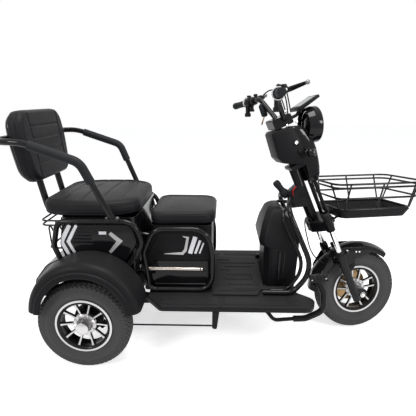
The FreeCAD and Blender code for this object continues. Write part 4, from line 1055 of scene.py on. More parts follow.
@dataclass
class Cushion:
    """Padded cushion: a closed crowned form with a side band, seams and sewn channels.

    Attributes:
        name: the piece.
        node: the solid that it stands for.
        body: the body that it rides on.
        corners: plan outline, rows of x, y and corner radius.
        low: height of its foot.
        thick: height of the cushion over its foot.
        crown: how far the middle stands above the rim.
        channels: sewn lines across the top, as x stations.
        lines: sewn lines along the top, as y values.
    """

    name: str
    node: str
    body: str
    corners: Sequence[Row]
    low: float
    thick: float
    crown: float
    channels: Sequence[float] = ()
    lines: Sequence[float] = ()
    around: int = 220

    def outline(self) -> Array:
        """Plan outline as evenly spaced points, its sides drawn in a little between the corners."""
        run = rounded_route([(c[0], c[1], 0.0, c[2]) for c in self.corners], True, 12)
        return evenly(run[:, :2], self.around)

    def sunk(self, x: Array, y: Array) -> Array:
        """Depth of the sewn channels at plan points: a narrow bell curve about each line."""
        return np.maximum(stitched(x, self.channels), stitched(y, self.lines))

    def shell(self) -> Shell:
        """Rings from the middle of the foot, out, up the band and in over the crown."""
        edge = self.outline()
        middle = edge.mean(0)
        plan = edge - middle
        height = self.thick
        table = [
            (0.0, 0.0), (0.5, 0.0), (0.9, 0.0), (0.955, 0.0015), (0.985, 0.007), (0.994, 0.012),
            (0.99, 0.0135), (0.996, 0.015), (1.0, 0.3 * height), (1.0, 0.45 * height), (0.996, 0.6 * height),
            (0.988, 0.635 * height), (0.992, 0.665 * height), (0.986, 0.74 * height), (0.965, 0.84 * height),
            (0.93, 0.91 * height), (0.885, 0.955 * height)]
        table += [(s, None) for s in np.linspace(0.85, 0.0, 44)]
        rings = []
        for share, level in table:
            flat = middle + plan * max(share, 0.001)
            if level is None:
                rise = self.thick - self.crown * share ** 2.4
                z = rise - 0.0035 * self.sunk(flat[:, 0], flat[:, 1]) * min(1.0, (0.85 - share) / 0.03 + 0.3)
            else:
                z = np.full(len(flat), level)
                if level > 0.9 * height:
                    z = z - 0.0015 * self.sunk(flat[:, 0], flat[:, 1])
            rings.append(np.stack([flat[:, 0], flat[:, 1], self.low + z], -1))
        return lofted(np.array(rings))

    def piping(self) -> Shell:
        """Welt along the upper seam of the side band."""
        edge = self.outline()
        middle = edge.mean(0)
        flat = middle + (edge - middle) * 0.990
        path = np.stack([flat[:, 0], flat[:, 1], np.full(len(flat), self.low + 0.65 * self.thick)], -1)
        return swept(path, circle(WELT, 8), True)

    def build(self) -> None:
        """Makes the cushion and its piping."""
        made = piece(self.name, self.shell(), HIDE, 60, self.node, body=self.body)
        piece(self.name + "_piping", self.piping(), HIDE, 60, body=self.body)


@dataclass
class Backrest:
    """Backrest pad with its sewn channels and the moulded shell behind it."""

    foot: tuple[float, float, float] = (-0.190, 0.0, 0.735)
    lean: float = math.radians(7)
    half: float = 0.205
    height: float = 0.292
    thick: float = 0.062
    panel: float = 0.132
    channels: tuple[float, ...] = (0.075, 0.125, 0.175, 0.225)
    around: int = 220

    def place(self) -> Array:
        """Matrix from the pad's own frame, its face at x 0, to the frame."""
        return FIXED @ shift_by(self.foot) @ turn_about(LEVEL, -self.lean, np.zeros(3))

    def outline(self, grow: float) -> Array:
        """Front view outline as y and z rows.

        Args:
            grow: scale of the outline about its middle.

        Returns:
            The rows, evenly spaced.
        """
        w, t = self.half, self.height
        run = rounded_route(
            [(0, -w + 0.022, 0, 0.07), (0, w - 0.022, 0, 0.07), (0, w, t * 0.6, 0.3),
            (0, w - 0.014, t, 0.062), (0, -w + 0.014, t, 0.062), (0, -w, t * 0.6, 0.3)], True, 12)
        flat = evenly(run[:, 1:], self.around)
        middle = np.array([0, t / 2])
        return middle + (flat - middle) * grow

    def pad(self) -> Shell:
        """Pad: rings from the back, round the band and in over the face with its channels."""
        rings = []
        table = [(0.001, -self.thick), (0.9, -self.thick), (0.965, -self.thick + 0.001),
                 (0.99, -self.thick + 0.006), (1.0, -self.thick + 0.014), (1.0, -0.034), (0.994, -0.030),
                 (0.985, -0.028), (0.99, -0.0255), (0.982, -0.017), (0.962, -0.0095), (0.93, -0.0055)]
        table += [(s, None) for s in np.linspace(0.9, 0.0, 46)]
        for share, level in table:
            flat = self.outline(max(share, 0.001))
            if level is None:
                x = -0.004 * share ** 2
                inside = np.abs(flat[:, 0]) < self.panel
                x = x - 0.004 * np.maximum(stitched(flat[:, 0], (-self.panel, self.panel)),
                                           stitched(flat[:, 1], self.channels) * inside)
            else:
                x = np.full(len(flat), level)
            rings.append(np.stack([np.broadcast_to(x, (len(flat),)), flat[:, 0], flat[:, 1]], -1))
        return lofted(np.array(rings))

    def back(self) -> Shell:
        """Shell: rings that step back and in from the pad's rear rim, ending in a shallow dome."""
        rings = []
        table = [(0.93, -0.0623), (0.935, -0.066), (0.925, -0.072), (0.88, -0.0815), (0.80, -0.0865),
                 (0.55, -0.0878), (0.25, -0.0883), (0.001, -0.0883)]
        for share, x in table:
            flat = self.outline(share)
            rings.append(np.stack([np.full(len(flat), x), flat[:, 0], flat[:, 1]], -1))
        return lofted(np.array(rings))

    def build(self) -> None:
        """Makes the pad and the shell."""
        made = piece("backrest_pad", self.pad(), HIDE, 60, "backrest_cushion", place=self.place())
        piece("backrest_back", self.back(), GLOSS_PANEL, 60, "backrest_shell", place=self.place())
        edge = self.outline(0.988)
        path = np.stack([np.full(len(edge), -0.0278), edge[:, 0], edge[:, 1]], -1)
        piece("backrest_piping", swept(path, circle(WELT, 8), True), HIDE, 60, place=self.place())


@dataclass
class RearFender:
    """Arched rear fender: a wall section carried round the arc's centre.

    Attributes:
        side: +1 on the left, -1 on the right.
    """

    side: int
    centre: tuple[float, float] = (0.020, 0.255)
    radius: float = 0.222
    arch: float = 0.166
    outer: float = 0.405
    inner: float = 0.257

    def section(self) -> Array:
        """Closed section as y and radius rows: crown, rolled corner, stepped face and lip."""
        o, r, a = self.outer, self.radius, self.arch
        run = rounded_route((
            (self.inner + 0.003, 0, r - 0.004), (self.inner + 0.003, 0, 0.160), (self.inner, 0, 0.160),
            (self.inner, 0, r), (o - 0.006, 0, r, 0.032),
            (o - 0.006, 0, r - 0.030, 0.004), (o, 0, r - 0.034, 0.004), (o, 0, a + 0.006, 0.004),
            (o - 0.002, 0, a, 0.003), (o - 0.006, 0, a), (o - 0.006, 0, r - 0.036, 0.004),
            (o - 0.010, 0, r - 0.034, 0.004), (o - 0.010, 0, r - 0.004, 0.028)), True, 6)
        return run[:, [0, 2]]

    def build(self) -> None:
        """Makes the fender."""
        section = self.section()
        angle = np.radians(np.linspace(-85, 85, 86))
        x = self.centre[0] + section[None, :, 1] * np.sin(angle)[:, None]
        z = self.centre[1] + section[None, :, 1] * np.cos(angle)[:, None]
        y = np.broadcast_to(section[:, 0] * self.side, x.shape)
        name = "left" if self.side > 0 else "right"
        piece("fender_%s" % name, lofted(np.stack([x, y, z], -1)), SATIN, 40, "rear_fender_%s" % name)


@dataclass
class SidePanels:
    """Convex panels in the hoops, with pressed louvres and plain film shapes."""

    def bench_edge(self) -> tuple[Array, Array]:
        """Outline of a bench panel as evenly spaced points, and its middle."""
        corners = ((-0.092, 0.584, 0.026), (0.192, 0.584, 0.044), (0.214, 0.502, 0.046),
                   (0.138, 0.388, 0.034), (-0.076, 0.388, 0.030), (-0.108, 0.492, 0.036))
        run = rounded_route([(c[0], 0.0, c[1], c[2]) for c in corners], True, 12)
        return evenly(run[:, [0, 2]], 200), np.array([0.052, 0.486])

    def on_driver(self, side: int, flat: Array, lift: float) -> Array:
        """Points of x and z rows on a driver's panel, lifted off it."""
        return np.stack([flat[:, 0], np.full(len(flat), side * (0.1702 + lift)), flat[:, 1]], -1)

    def on_bench(self, side: int, flat: Array, lift: float) -> Array:
        """Points of a bench panel's bulged surface.

        Args:
            side: +1 on the left, -1 on the right.
            flat: rows of x and z; rows beyond the rim are drawn in to it.
            lift: height over the surface.

        Returns:
            Rows of x, y and z.
        """
        edge, middle = self.bench_edge()
        around = np.arctan2(*(edge - middle).T[::-1])
        order = np.argsort(around)
        rim = np.interp(np.arctan2(flat[:, 1] - middle[1], flat[:, 0] - middle[0]), around[order],
                        np.linalg.norm(edge - middle, axis=1)[order], period=2 * math.pi)
        gap = flat - middle
        share = np.linalg.norm(gap, axis=1) / rim
        gap = gap * np.minimum(1, 0.965 / np.maximum(share, 1e-6))[:, None]
        share = np.minimum(share, 0.965)
        y = side * (0.226 + 0.010 + 0.0135 * np.sqrt(1 - share ** 2.6) + lift)
        return np.stack([middle[0] + gap[:, 0], y, middle[1] + gap[:, 1]], -1)

    def bench(self) -> Shell:
        """Bench panels: outline rings drawn in towards the middle as the surface bulges out.

        Louvres are level grooves, one bell curve each, cut at even heights.
        """
        edge, middle = self.bench_edge()
        shells = []
        for side in SIDES:
            rings = []
            for share, bulge in [(1.0, 0.0), (1.0, 0.008)] + [(s, None) for s in np.linspace(0.985, 0.0,
                                                                                             40)]:
                flat = middle + (edge - middle) * max(share, 0.001)
                if bulge is None:
                    lift = 0.010 + 0.0135 * np.sqrt(np.clip(1 - share ** 2.6, 0, 1))
                    reach = np.clip((0.045 - np.abs(flat[:, 0] + 0.012)) / 0.010, 0, 1)
                    reach = reach * np.clip((0.030 - np.abs(flat[:, 1] - 0.528)) / 0.004, 0, 1)
                    groove = np.exp(-((((flat[:, 1] - 0.498) / 0.0145) % 1.0 - 0.5) / 0.16) ** 2) * reach
                    lift = lift - 0.0025 * groove
                else:
                    lift = np.full(len(flat), bulge)
                y = side * (0.226 + lift)
                rings.append(np.stack([flat[:, 0], y, flat[:, 1]], -1))
            shells.append(lofted(np.array(rings)))
        return joined(shells)

    def driver(self) -> Shell:
        """Driver's panels: a plate with a raised border."""
        shells = []
        top = 0.554 - 0.024
        outer = ((0.262, top, 0.024), (0.480, top, 0.040), (0.506, 0.440, 0.020), (0.500, 0.400, 0.008),
                 (0.226, 0.400, 0.012), (0.214, 0.430, 0.012))
        inner = ((0.280, top - 0.018, 0.018), (0.466, top - 0.018, 0.030), (0.486, 0.446, 0.016),
                 (0.482, 0.416, 0.008), (0.244, 0.416, 0.010), (0.236, 0.434, 0.010))
        for side in SIDES:
            shells += [cheek(outer, side, 0.163, 0.168, 0.0015), cheek(inner, side, 0.166, 0.170, 0.0018)]
        return joined(shells)

    def build(self) -> None:
        """Makes the panels."""
        piece("bench_side_panels", self.bench(), GLOSS_PANEL, 60, "bench_panels")
        piece("driver_side_panels", self.driver(), SATIN, 30, "driver_panels")


def patch(corners: Sequence[Row], surface: Callable[[Array, Array], Array], steps: int = 10,
          thick: float = 0.0006) -> Shell:
    """Thin film between four corners, laid on a surface.

    Args:
        corners: four rows of two plan values, in order round the film.
        surface: gives the points, one row each, of plan values on the surface and a lift off it.
        steps: points along each edge.
        thick: thickness of the film.

    Returns:
        The skin.
    """
    a, b, c, d = np.array(corners, float)
    u, v = np.meshgrid(np.linspace(0, 1, steps), np.linspace(0, 1, steps), indexing="ij")
    u, v = u[..., None], v[..., None]
    flat = (1 - u) * (1 - v) * a + u * (1 - v) * b + u * v * c + (1 - u) * v * d
    top = surface(flat.reshape(-1, 2), thick).reshape(steps, steps, 3)
    low = surface(flat.reshape(-1, 2), -thick).reshape(steps, steps, 3)
    return lofted(np.concatenate([top, low[:, ::-1]], 1))


def band(centre: Row, direction: Row, radius: float, wire: float, sides: int = 48) -> Shell:
    """Plain ring of round wire about an axis.

    Args:
        centre: middle of the ring.
        direction: its axis.
        radius: radius of the ring.
        wire: radius of the wire.
        sides: points round the ring.

    Returns:
        The skin.
    """
    axis = np.array(direction, float) / np.linalg.norm(direction)
    first, second = unit_pair(axis)
    t = np.arange(sides) * 2 * math.pi / sides
    path = np.array(centre, float) + radius * (np.cos(t)[:, None] * first + np.sin(t)[:, None] * second)
    return swept(path, circle(wire, 10), True)


@dataclass
class Cable:
    """Thin cable held at both ends: one smooth NURBS spline.

    Attributes:
        name: the piece.
        points: control points of the spline.
        diameter: across the sheath.
        length: real length of the spline; not used.
        finish: finish of the sheath.
        body: the body that it rides on.
        place: matrix from its points to the frame.
    """

    name: str
    points: Sequence[Row]
    diameter: float
    length: float
    finish: Finish
    body: str
    place: Array

    def build(self) -> None:
        curve = bpy.data.curves.new(self.name, "CURVE")
        curve.dimensions = "3D"
        curve.bevel_depth = self.diameter / 2
        curve.bevel_resolution = 4
        curve.use_fill_caps = True
        spline = curve.splines.new("NURBS")
        spline.points.add(len(self.points) - 1)
        run = np.array(self.points, float) @ self.place[:3, :3].T + self.place[:3, 3]
        spline.points.foreach_set("co", np.hstack([run, np.ones((len(run), 1))]).ravel())
        spline.order_u = 3
        spline.use_endpoint_u = True
        spline.resolution_u = 10
        curve.materials.append(self.finish.material())
        made = linked(self.name, curve)
        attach(made, self.body)
        LOG.info("%s on %s: cord", self.name, self.body)


@dataclass
class SteeringHead:
    """Lock box, front cowl, headlight, display and turn signals."""

    cowl_wall: float = 0.005
    lamp: tuple[float, float, float] = (0.930, 0.0, 0.950)

    def lock_box(self) -> Shell:
        """Lock box: a rounded body with a raised cover on each side."""
        outline = (
            (-0.081, 0.842, 0.016), (0.015, 0.824, 0.022), (0.027, 0.780, 0.040), (0.024, 0.706, 0.030),
            (0.013, 0.650, 0.006), (-0.079, 0.700, 0.014), (-0.092, 0.730, 0.012))
        cover = [(-0.034 + (x + 0.034) * 0.86, 0.752 + (z - 0.752) * 0.88, r) for x, z, r in outline]
        return joined([prism(outline, -0.0505, 0.0505, 0.006), prism(cover, -0.052, 0.052, 0.0014)])

    def cowl(self) -> Shell:
        """Cowl: thin U rings, one at each height along the steering axis.

        The outer line of a ring is half of a superellipse, x = rear + length cos t ** 0.5 and
        y = half sin t ** 0.5; the inner line lies a wall's thickness within it.
        """
        rows = ((0.566, 0.010, 0.046, 0.036), (0.572, 0.006, 0.053, 0.041), (0.590, 0.004, 0.064, 0.045),
                (0.620, 0.007, 0.074, 0.047), (0.652, 0.011, 0.081, 0.047), (0.700, 0.018, 0.088, 0.047),
                (0.740, 0.020, 0.0875, 0.047), (0.780, 0.018, 0.080, 0.047), (0.805, 0.014, 0.066, 0.046),
                (0.818, 0.010, 0.048, 0.043), (0.825, 0.006, 0.028, 0.036))
        fine = np.linspace(0, len(rows) - 1, 41)
        table = np.stack([np.interp(fine, np.arange(len(rows)), [r[i] for r in rows]) for i in range(4)], -1)
        t = np.linspace(-math.pi / 2, math.pi / 2, 37)
        across, ahead = np.sign(np.sin(t)) * np.abs(np.sin(t)) ** 0.5, np.abs(np.cos(t)) ** 0.5
        rings = []
        for along, rear, front, half in table:
            outer = np.stack([rear + (front - rear) * ahead, half * across, np.full(len(t), along)], -1)
            wall = self.cowl_wall
            inner = np.stack(
                [rear + (front - rear - wall) * ahead, (half - wall) * across, np.full(len(t), along)], -1)
            rings.append(np.vstack([outer, inner[::-1]]))
        return lofted(np.array(rings))

    def headlight(self) -> None:
        """Drum with a rolled rim, an open back with its bulb bowl, a bright ring and a lens."""
        aim = (math.cos(math.radians(5)), 0.0, math.sin(math.radians(5)))
        drum = turned(
            ((0.001, -0.022), (0.020, -0.0215), (0.036, -0.012), (0.044, -0.004), (0.052, -0.001),
            (0.056, -0.004), (0.060, -0.012), (0.064, -0.026), (0.0665, -0.029), (0.069, -0.0285),
            (0.0735, -0.012), (0.0768, -0.004), (0.077, 0.0), (0.077, 0.020), (0.0765, 0.0245),
            (0.0745, 0.028), (0.0725, 0.029), (0.070, 0.0275), (0.069, 0.022), (0.001, 0.022)), self.lamp,
            aim, 96)
        on_steering("headlight_drum", drum, GLOSS_PANEL, 50, "headlight")
        lens = turned(((TIP, 0.0222), (0.0685, 0.0222), (0.0685, 0.0262), (0.055, 0.030), (0.030, 0.0325),
                       (TIP, 0.0333)), self.lamp, aim, 72)
        on_steering("headlight_lens", lens, LENS, 50)
        back = np.array(self.lamp) - np.array(aim) * 0.012
        on_steering("headlight_ring", band(back, aim, 0.0585, 0.0016, 72), CHROME, 60)

    def signals(self) -> None:
        """Stalk, boot and drum of each turn signal, and its lens."""
        bodies, lenses = [], []
        for side in SIDES:
            root = LEGS_FOOT + AXIS_FORWARD * 0.036 + AXIS_UP * 0.700 + np.array([0, side * 0.047, 0])
            across = (0, side, 0)
            bodies.append(
                turned(((TIP, -0.001), (0.013, -0.001), (0.0125, 0.003), (0.008, 0.006), (0.0065, 0.013),
                (0.0095, 0.017), (0.0095, 0.021), (TIP, 0.022)), root, across, 32))
            middle = root + np.array([0, side * 0.034, 0])
            bodies.append(turned(((TIP, -0.014), (0.011, -0.014), (0.0155, -0.011), (0.0172, -0.006),
                                  (0.0172, 0.004), (TIP, 0.004)), middle, (1, 0, 0.1), 36))
            lenses.append(turned(((TIP, 0.0042), (0.0166, 0.0042), (0.0166, 0.012), (0.014, 0.017),
                                  (0.008, 0.0195), (TIP, 0.020)), middle, (1, 0, 0.1), 36))
        on_steering("signal_bodies", bodies, GLOSS_PANEL, 45, "turn_signals")
        on_steering("signal_lenses", lenses, SMOKED, 45)

    def display(self) -> None:
        """Instrument plate with an inset screen, and its stalk."""
        plate = prism(((0.866, 1.004, 0.003), (0.948, 1.062, 0.005), (0.942, 1.0735, 0.005),
                       (0.856, 1.018, 0.005)), -0.052, 0.052, 0.003)
        stalk = tube(((0.820, 0, 0.968), (0.868, 0, 0.990, 0.014), (0.900, 0, 1.036)), 0.007)
        on_steering("display_body", [plate, stalk], SATIN, 40, "display")

        def face(flat: Array, lift: float) -> Array:
            """Points of plan rows on the plate, lifted off it."""
            ahead, up = np.array([0.840, 0, 0.542]), np.array([-0.542, 0, 0.840])
            start = np.array([0.8565, 0, 1.0178])
            return start + flat[:, :1] * ahead + flat[:, 1:] * LEVEL + up * lift

        glass = patch(((0.012, -0.042), (0.090, -0.042), (0.090, 0.042), (0.012, 0.042)), face, 4, 0.0012)
        on_steering("display_glass", glass, SCREEN, 40)

    def build(self) -> None:
        """Makes the pieces of the head."""
        on_fork("lock_body", self.lock_box(), SATIN, 40, "head_box")
        on_fork("cowl_skin", self.cowl(), GLOSS_PANEL, 50, "front_cowl")
        rings, knobs = [], []
        for side in SIDES:
            face = (0.0033, side * 0.0518, 0.760)
            knobs.append(turned(((TIP, 0), (0.017, 0), (0.0165, 0.0012), (0.012, 0.0018), (TIP, 0.0018)),
                                face, (0, side, 0), 40))
            rings.append(turned(((0.0035, 0.0), (0.0078, 0.0), (0.0076, 0.0034), (0.0062, 0.0042),
                                 (0.0040, 0.0038), (0.0035, 0.0022)), face, (0, side, 0), 40))
            knobs.append(turned(((TIP, 0), (0.0095, 0), (0.0090, 0.004), (0.0070, 0.0065), (TIP, 0.007)),
                                (0.0033, side * 0.0518, 0.719), (0, side, 0), 32))
        on_fork("lock_rings", rings, CHROME, 40)
        on_fork("lock_bosses", knobs, FRAME_PAINT, 40)
        self.headlight()
        self.signals()
        self.display()


@dataclass
class Cockpit:
    """Grips, switch housings, levers, cables and key on the handlebar, in the fork's frame."""

    tip: tuple[float, float] = (-0.084, 0.986)
    tip_side: float = 0.332
    bend: tuple[float, float] = (-0.026, 0.976)
    bend_side: float = 0.104

    def inward(self, side: int) -> Array:
        """Unit vector from the tip of a grip to the bend of the bar."""
        run = np.array([self.bend[0] - self.tip[0], side * (self.bend_side - self.tip_side),
                        self.bend[1] - self.tip[1]])
        return run / np.linalg.norm(run)

    def at(self, side: int, run: float, ahead: float = 0.0, up: float = 0.0) -> Array:
        """Point RUN metres in from the tip of a grip, moved ahead and upright."""
        tip = np.array([self.tip[0], side * self.tip_side, self.tip[1]])
        return (tip + self.inward(side) * run + ahead * np.array([0.998, 0, -0.056])
                + up * np.array([0.394, 0, 0.919]))

    def grips(self) -> None:
        """Grips: waisted sleeves with fine ribs and a flange at the inner end."""
        shells, rings = [], []
        for side in SIDES:
            height = np.linspace(-0.003, 0.112, 116)
            swell = 0.0152 + 0.0008 * np.cos(height / 0.112 * 2 * math.pi)
            radius = swell - 0.0005 * (np.sin(height * 2 * math.pi / 0.004) > 0.2)
            profile = [(TIP, -0.003), (0.012, -0.003)] + list(zip(radius[1:], height[1:]))
            profile += [(0.0195, 0.113), (0.021, 0.1145), (0.021, 0.117), (0.0195, 0.118), (0.0112, 0.118)]
            shells.append(turned(profile, self.at(side, 0), self.inward(side), 36))
            rings.append(turned(((0.0115, 0.1182), (0.0245, 0.1182), (0.0250, 0.1192), (0.0245, 0.1203),
                                 (0.0115, 0.1203)), self.at(side, 0), self.inward(side), 48))
        on_fork("grip_sleeves", shells, GRIP, 50, "grips")
        on_fork("grip_rings", rings, WHITE_PLASTIC, 50)

    def housing(self, side: int) -> list[Shell]:
        """Switch block round the bar, its lower body, perch and small studs.

        Args:
            side: +1 on the left, -1 on the right.

        Returns:
            The skins.
        """
        inward = self.inward(side)
        shells = [
            turned(((0.0112, 0.124), (0.019, 0.124), (0.022, 0.127), (0.022, 0.143), (0.0205, 0.144),
            (0.0205, 0.146), (0.022, 0.147), (0.022, 0.162), (0.019, 0.166), (0.0112, 0.166)),
            self.at(side, 0), inward, 36), turned(((0.0112, 0.168), (0.017, 0.168), (0.018, 0.170),
            (0.018, 0.190), (0.017, 0.192), (0.0112, 0.192)), self.at(side, 0), inward, 32)]
        table = (  # run, ahead, up, radius, length, tilt
            (0.132, -0.004, -0.018, 0.0105, 0.046, -1), (0.152, 0.006, -0.016, 0.0085, 0.030, -1),
            (0.130, 0.002, 0.015, 0.0075, 0.016, 1), (0.150, 0.024, 0.004, 0.0070, 0.022, 1),
            (0.178, 0.010, 0.010, 0.0065, 0.018, 1))
        for run, ahead, up, radius, length, tilt in table:
            top = radius * 1.35
            shells.append(
                turned(((TIP, -0.006), (radius, -0.006), (radius, length * 0.62), (top, length * 0.66),
                (top, length - 0.002), (top - 0.002, length), (TIP, length)), self.at(side, run, ahead, up),
                (0.394 * tilt, 0, 0.919 * tilt), 20))
        first, last = self.at(side, 0.150, 0.020, 0.004), self.at(side, 0.196, 0.020, 0.004)
        along = np.array([0, 0, 1.0])
        body = rounded_route([(*(first + along * 0.010), 0.004), (*(last + along * 0.010), 0.004),
                              (*(last - along * 0.010), 0.004), (*(first - along * 0.010), 0.004)], True, 4)
        shells.append(lofted(np.array([body + np.array([x, 0, 0]) for x in (-0.011, 0.013)])))
        return shells

    def lever(self, side: int) -> tuple[Shell, Shell]:
        """Tapered lever with its ball end.

        Args:
            side: +1 on the left, -1 on the right.

        Returns:
            The skins of the lever and of the ball.
        """
        inward = self.inward(side)
        near = self.at(side, 0.178, 0.018)
        knee, end = self.at(side, 0.158, 0.060), self.at(side, 0.088, 0.112)
        path = evenly(rounded_route([tuple(near), (*knee, 0.020), tuple(end)], False, 10), 40, False)
        sides, other = frames_along(path, False)
        width = np.interp(np.linspace(0, 1, 40), (0, 0.3, 0.8, 1), (0.0085, 0.0098, 0.0072, 0.0055))
        profile = circle(1.0, 16, 0.72)
        t = np.linspace(0.02, math.pi - 0.02, 18)
        ball = turned(list(zip(0.0088 * np.sin(t), -0.0088 * np.cos(t))), end, inward, 28)
        return tapered(path, sides, other, width, width, profile), ball

    def build(self) -> None:
        """Makes the pieces of the cockpit."""
        self.grips()
        parts, balls, bright = [], [], []
        for side in SIDES:
            parts += self.housing(side)
            lever, ball = self.lever(side)
            parts.append(lever)
            balls.append(ball)
            bright.append(turned(((TIP, 0), (0.0055, 0), (0.0055, 0.026), (TIP, 0.026)),
                                 self.at(side, 0.150, 0.034, 0.004), self.inward(side), 18))
        on_fork("control_blocks", parts, FRAME_PAINT, 40, "controls")
        on_fork("lever_balls", balls, GREY_METAL, 60)
        for forward, along in ((0.037, 0.836), (0.008, 0.894), (-0.006, 0.839)):
            bright.append(turned(((TIP, -0.002), (0.0062, -0.002), (0.0062, 0.004), (0.004, 0.006),
                                  (TIP, 0.006)), (forward, -0.046, along), (0, -1, 0), 6))
        on_fork("cockpit_bright_bits", bright, CHROME, 40)
        fob = prism(
            ((-0.051, 0.900, 0.010), (-0.024, 0.896, 0.010), (-0.021, 0.944, 0.012), (-0.034, 0.962, 0.008),
            (-0.048, 0.950, 0.010)), 0.084, 0.098, 0.003)
        on_fork("key_fob", fob, GRIP, 40)
        key = prism(((-0.040, 0.898), (-0.046, 0.898), (-0.068, 0.874), (-0.063, 0.870)), 0.0898, 0.0922)
        on_fork("key_blade", key, BRONZE, 30)
        cables = (
            ("near_brake_cable", 0.21, ((-0.012, -0.112, 0.990), (-0.002, -0.085, 1.006),
            (0.018, -0.060, 1.008), (0.032, -0.044, 0.975), (0.030, -0.036, 0.920), (0.016, -0.032, 0.872))),
            ("near_switch_cable", 0.20, ((0.010, -0.150, 0.986), (0.024, -0.110, 1.000),
            (0.040, -0.060, 0.990), (0.044, -0.032, 0.940), (0.036, -0.024, 0.880))),
            ("far_brake_cable", 0.20, ((0.010, 0.150, 0.986), (0.026, 0.110, 0.998), (0.042, 0.062, 0.986),
            (0.044, 0.036, 0.940), (0.034, 0.028, 0.880))))
        for name, length, points in cables:
            Cable(name, points, 0.0055, length, RUBBER, "steering", FORK).build()


@dataclass
class Films:
    """Plain bars and chevrons of film on the side panels."""

    @staticmethod
    def strip(points: Sequence[Row], widths: Sequence[float]) -> list[tuple[Row, ...]]:
        """Quads along a bent line, mitred at its corners.

        Args:
            points: rows of x and z.
            widths: half width at each point.

        Returns:
            Rows of four corners.
        """
        line = np.array(points, float)
        ahead = np.diff(line, axis=0)
        ahead /= np.linalg.norm(ahead, axis=1)[:, None]
        normal = np.stack([-ahead[:, 1], ahead[:, 0]], -1)
        miter = np.vstack([normal[:1], normal[:-1] + normal[1:], normal[-1:]])
        miter /= np.maximum(np.linalg.norm(miter, axis=1), 1e-9)[:, None]
        for i in range(1, len(line) - 1):
            miter[i] /= max(0.3, float(miter[i] @ normal[i]))
        left = line + miter * np.array(widths)[:, None]
        right = line - miter * np.array(widths)[:, None]
        return [(left[i], left[i + 1], right[i + 1], right[i]) for i in range(len(line) - 1)]

    def build(self) -> None:
        """Makes the films."""
        panels = SidePanels()
        bars = self.strip(((-0.058, 0.578), (-0.098, 0.508), (-0.068, 0.448)), (0.008, 0.009, 0.007))
        bars += self.strip(((-0.030, 0.578), (-0.068, 0.510), (-0.040, 0.452)), (0.006, 0.007, 0.005))
        bars += self.strip(((0.060, 0.548), (0.090, 0.548)), (0.006, 0.006))
        bars += self.strip(((-0.018, 0.457), (0.006, 0.458)), (0.006, 0.006))
        bars += self.strip(((0.014, 0.458), (0.044, 0.460)), (0.004, 0.004))
        pale = self.strip(((0.104, 0.548), (0.142, 0.514), (0.100, 0.466)), (0.007, 0.009, 0.006))
        films, greys = [], []
        for side in SIDES:
            skin = partial(panels.on_bench, side)
            films += [patch(row, skin) for row in bars]
            greys += [patch(row, skin) for row in pale]
            plate = partial(panels.on_driver, side)
            greys += [patch(row, plate, 4) for row in self.strip(
                ((0.386, 0.508), (0.408, 0.502), (0.397, 0.446), (0.384, 0.431), (0.306, 0.429)),
                (0.001, 0.005, 0.006, 0.006, 0.001))]
            for top, foot, half in ((0.440, 0.416, 0.009), (0.460, 0.438, 0.005), (0.474, 0.456, 0.003)):
                rise = 0.506 - (top - 0.440) * 0.8
                films += [
                    patch(row, plate, 4) for row in self.strip(((top, rise), (foot, 0.431)), (half, half))]
        piece("panel_films", films, SILVER_FILM, 30)
        piece("panel_films_grey", greys, GREY_FILM, 30)


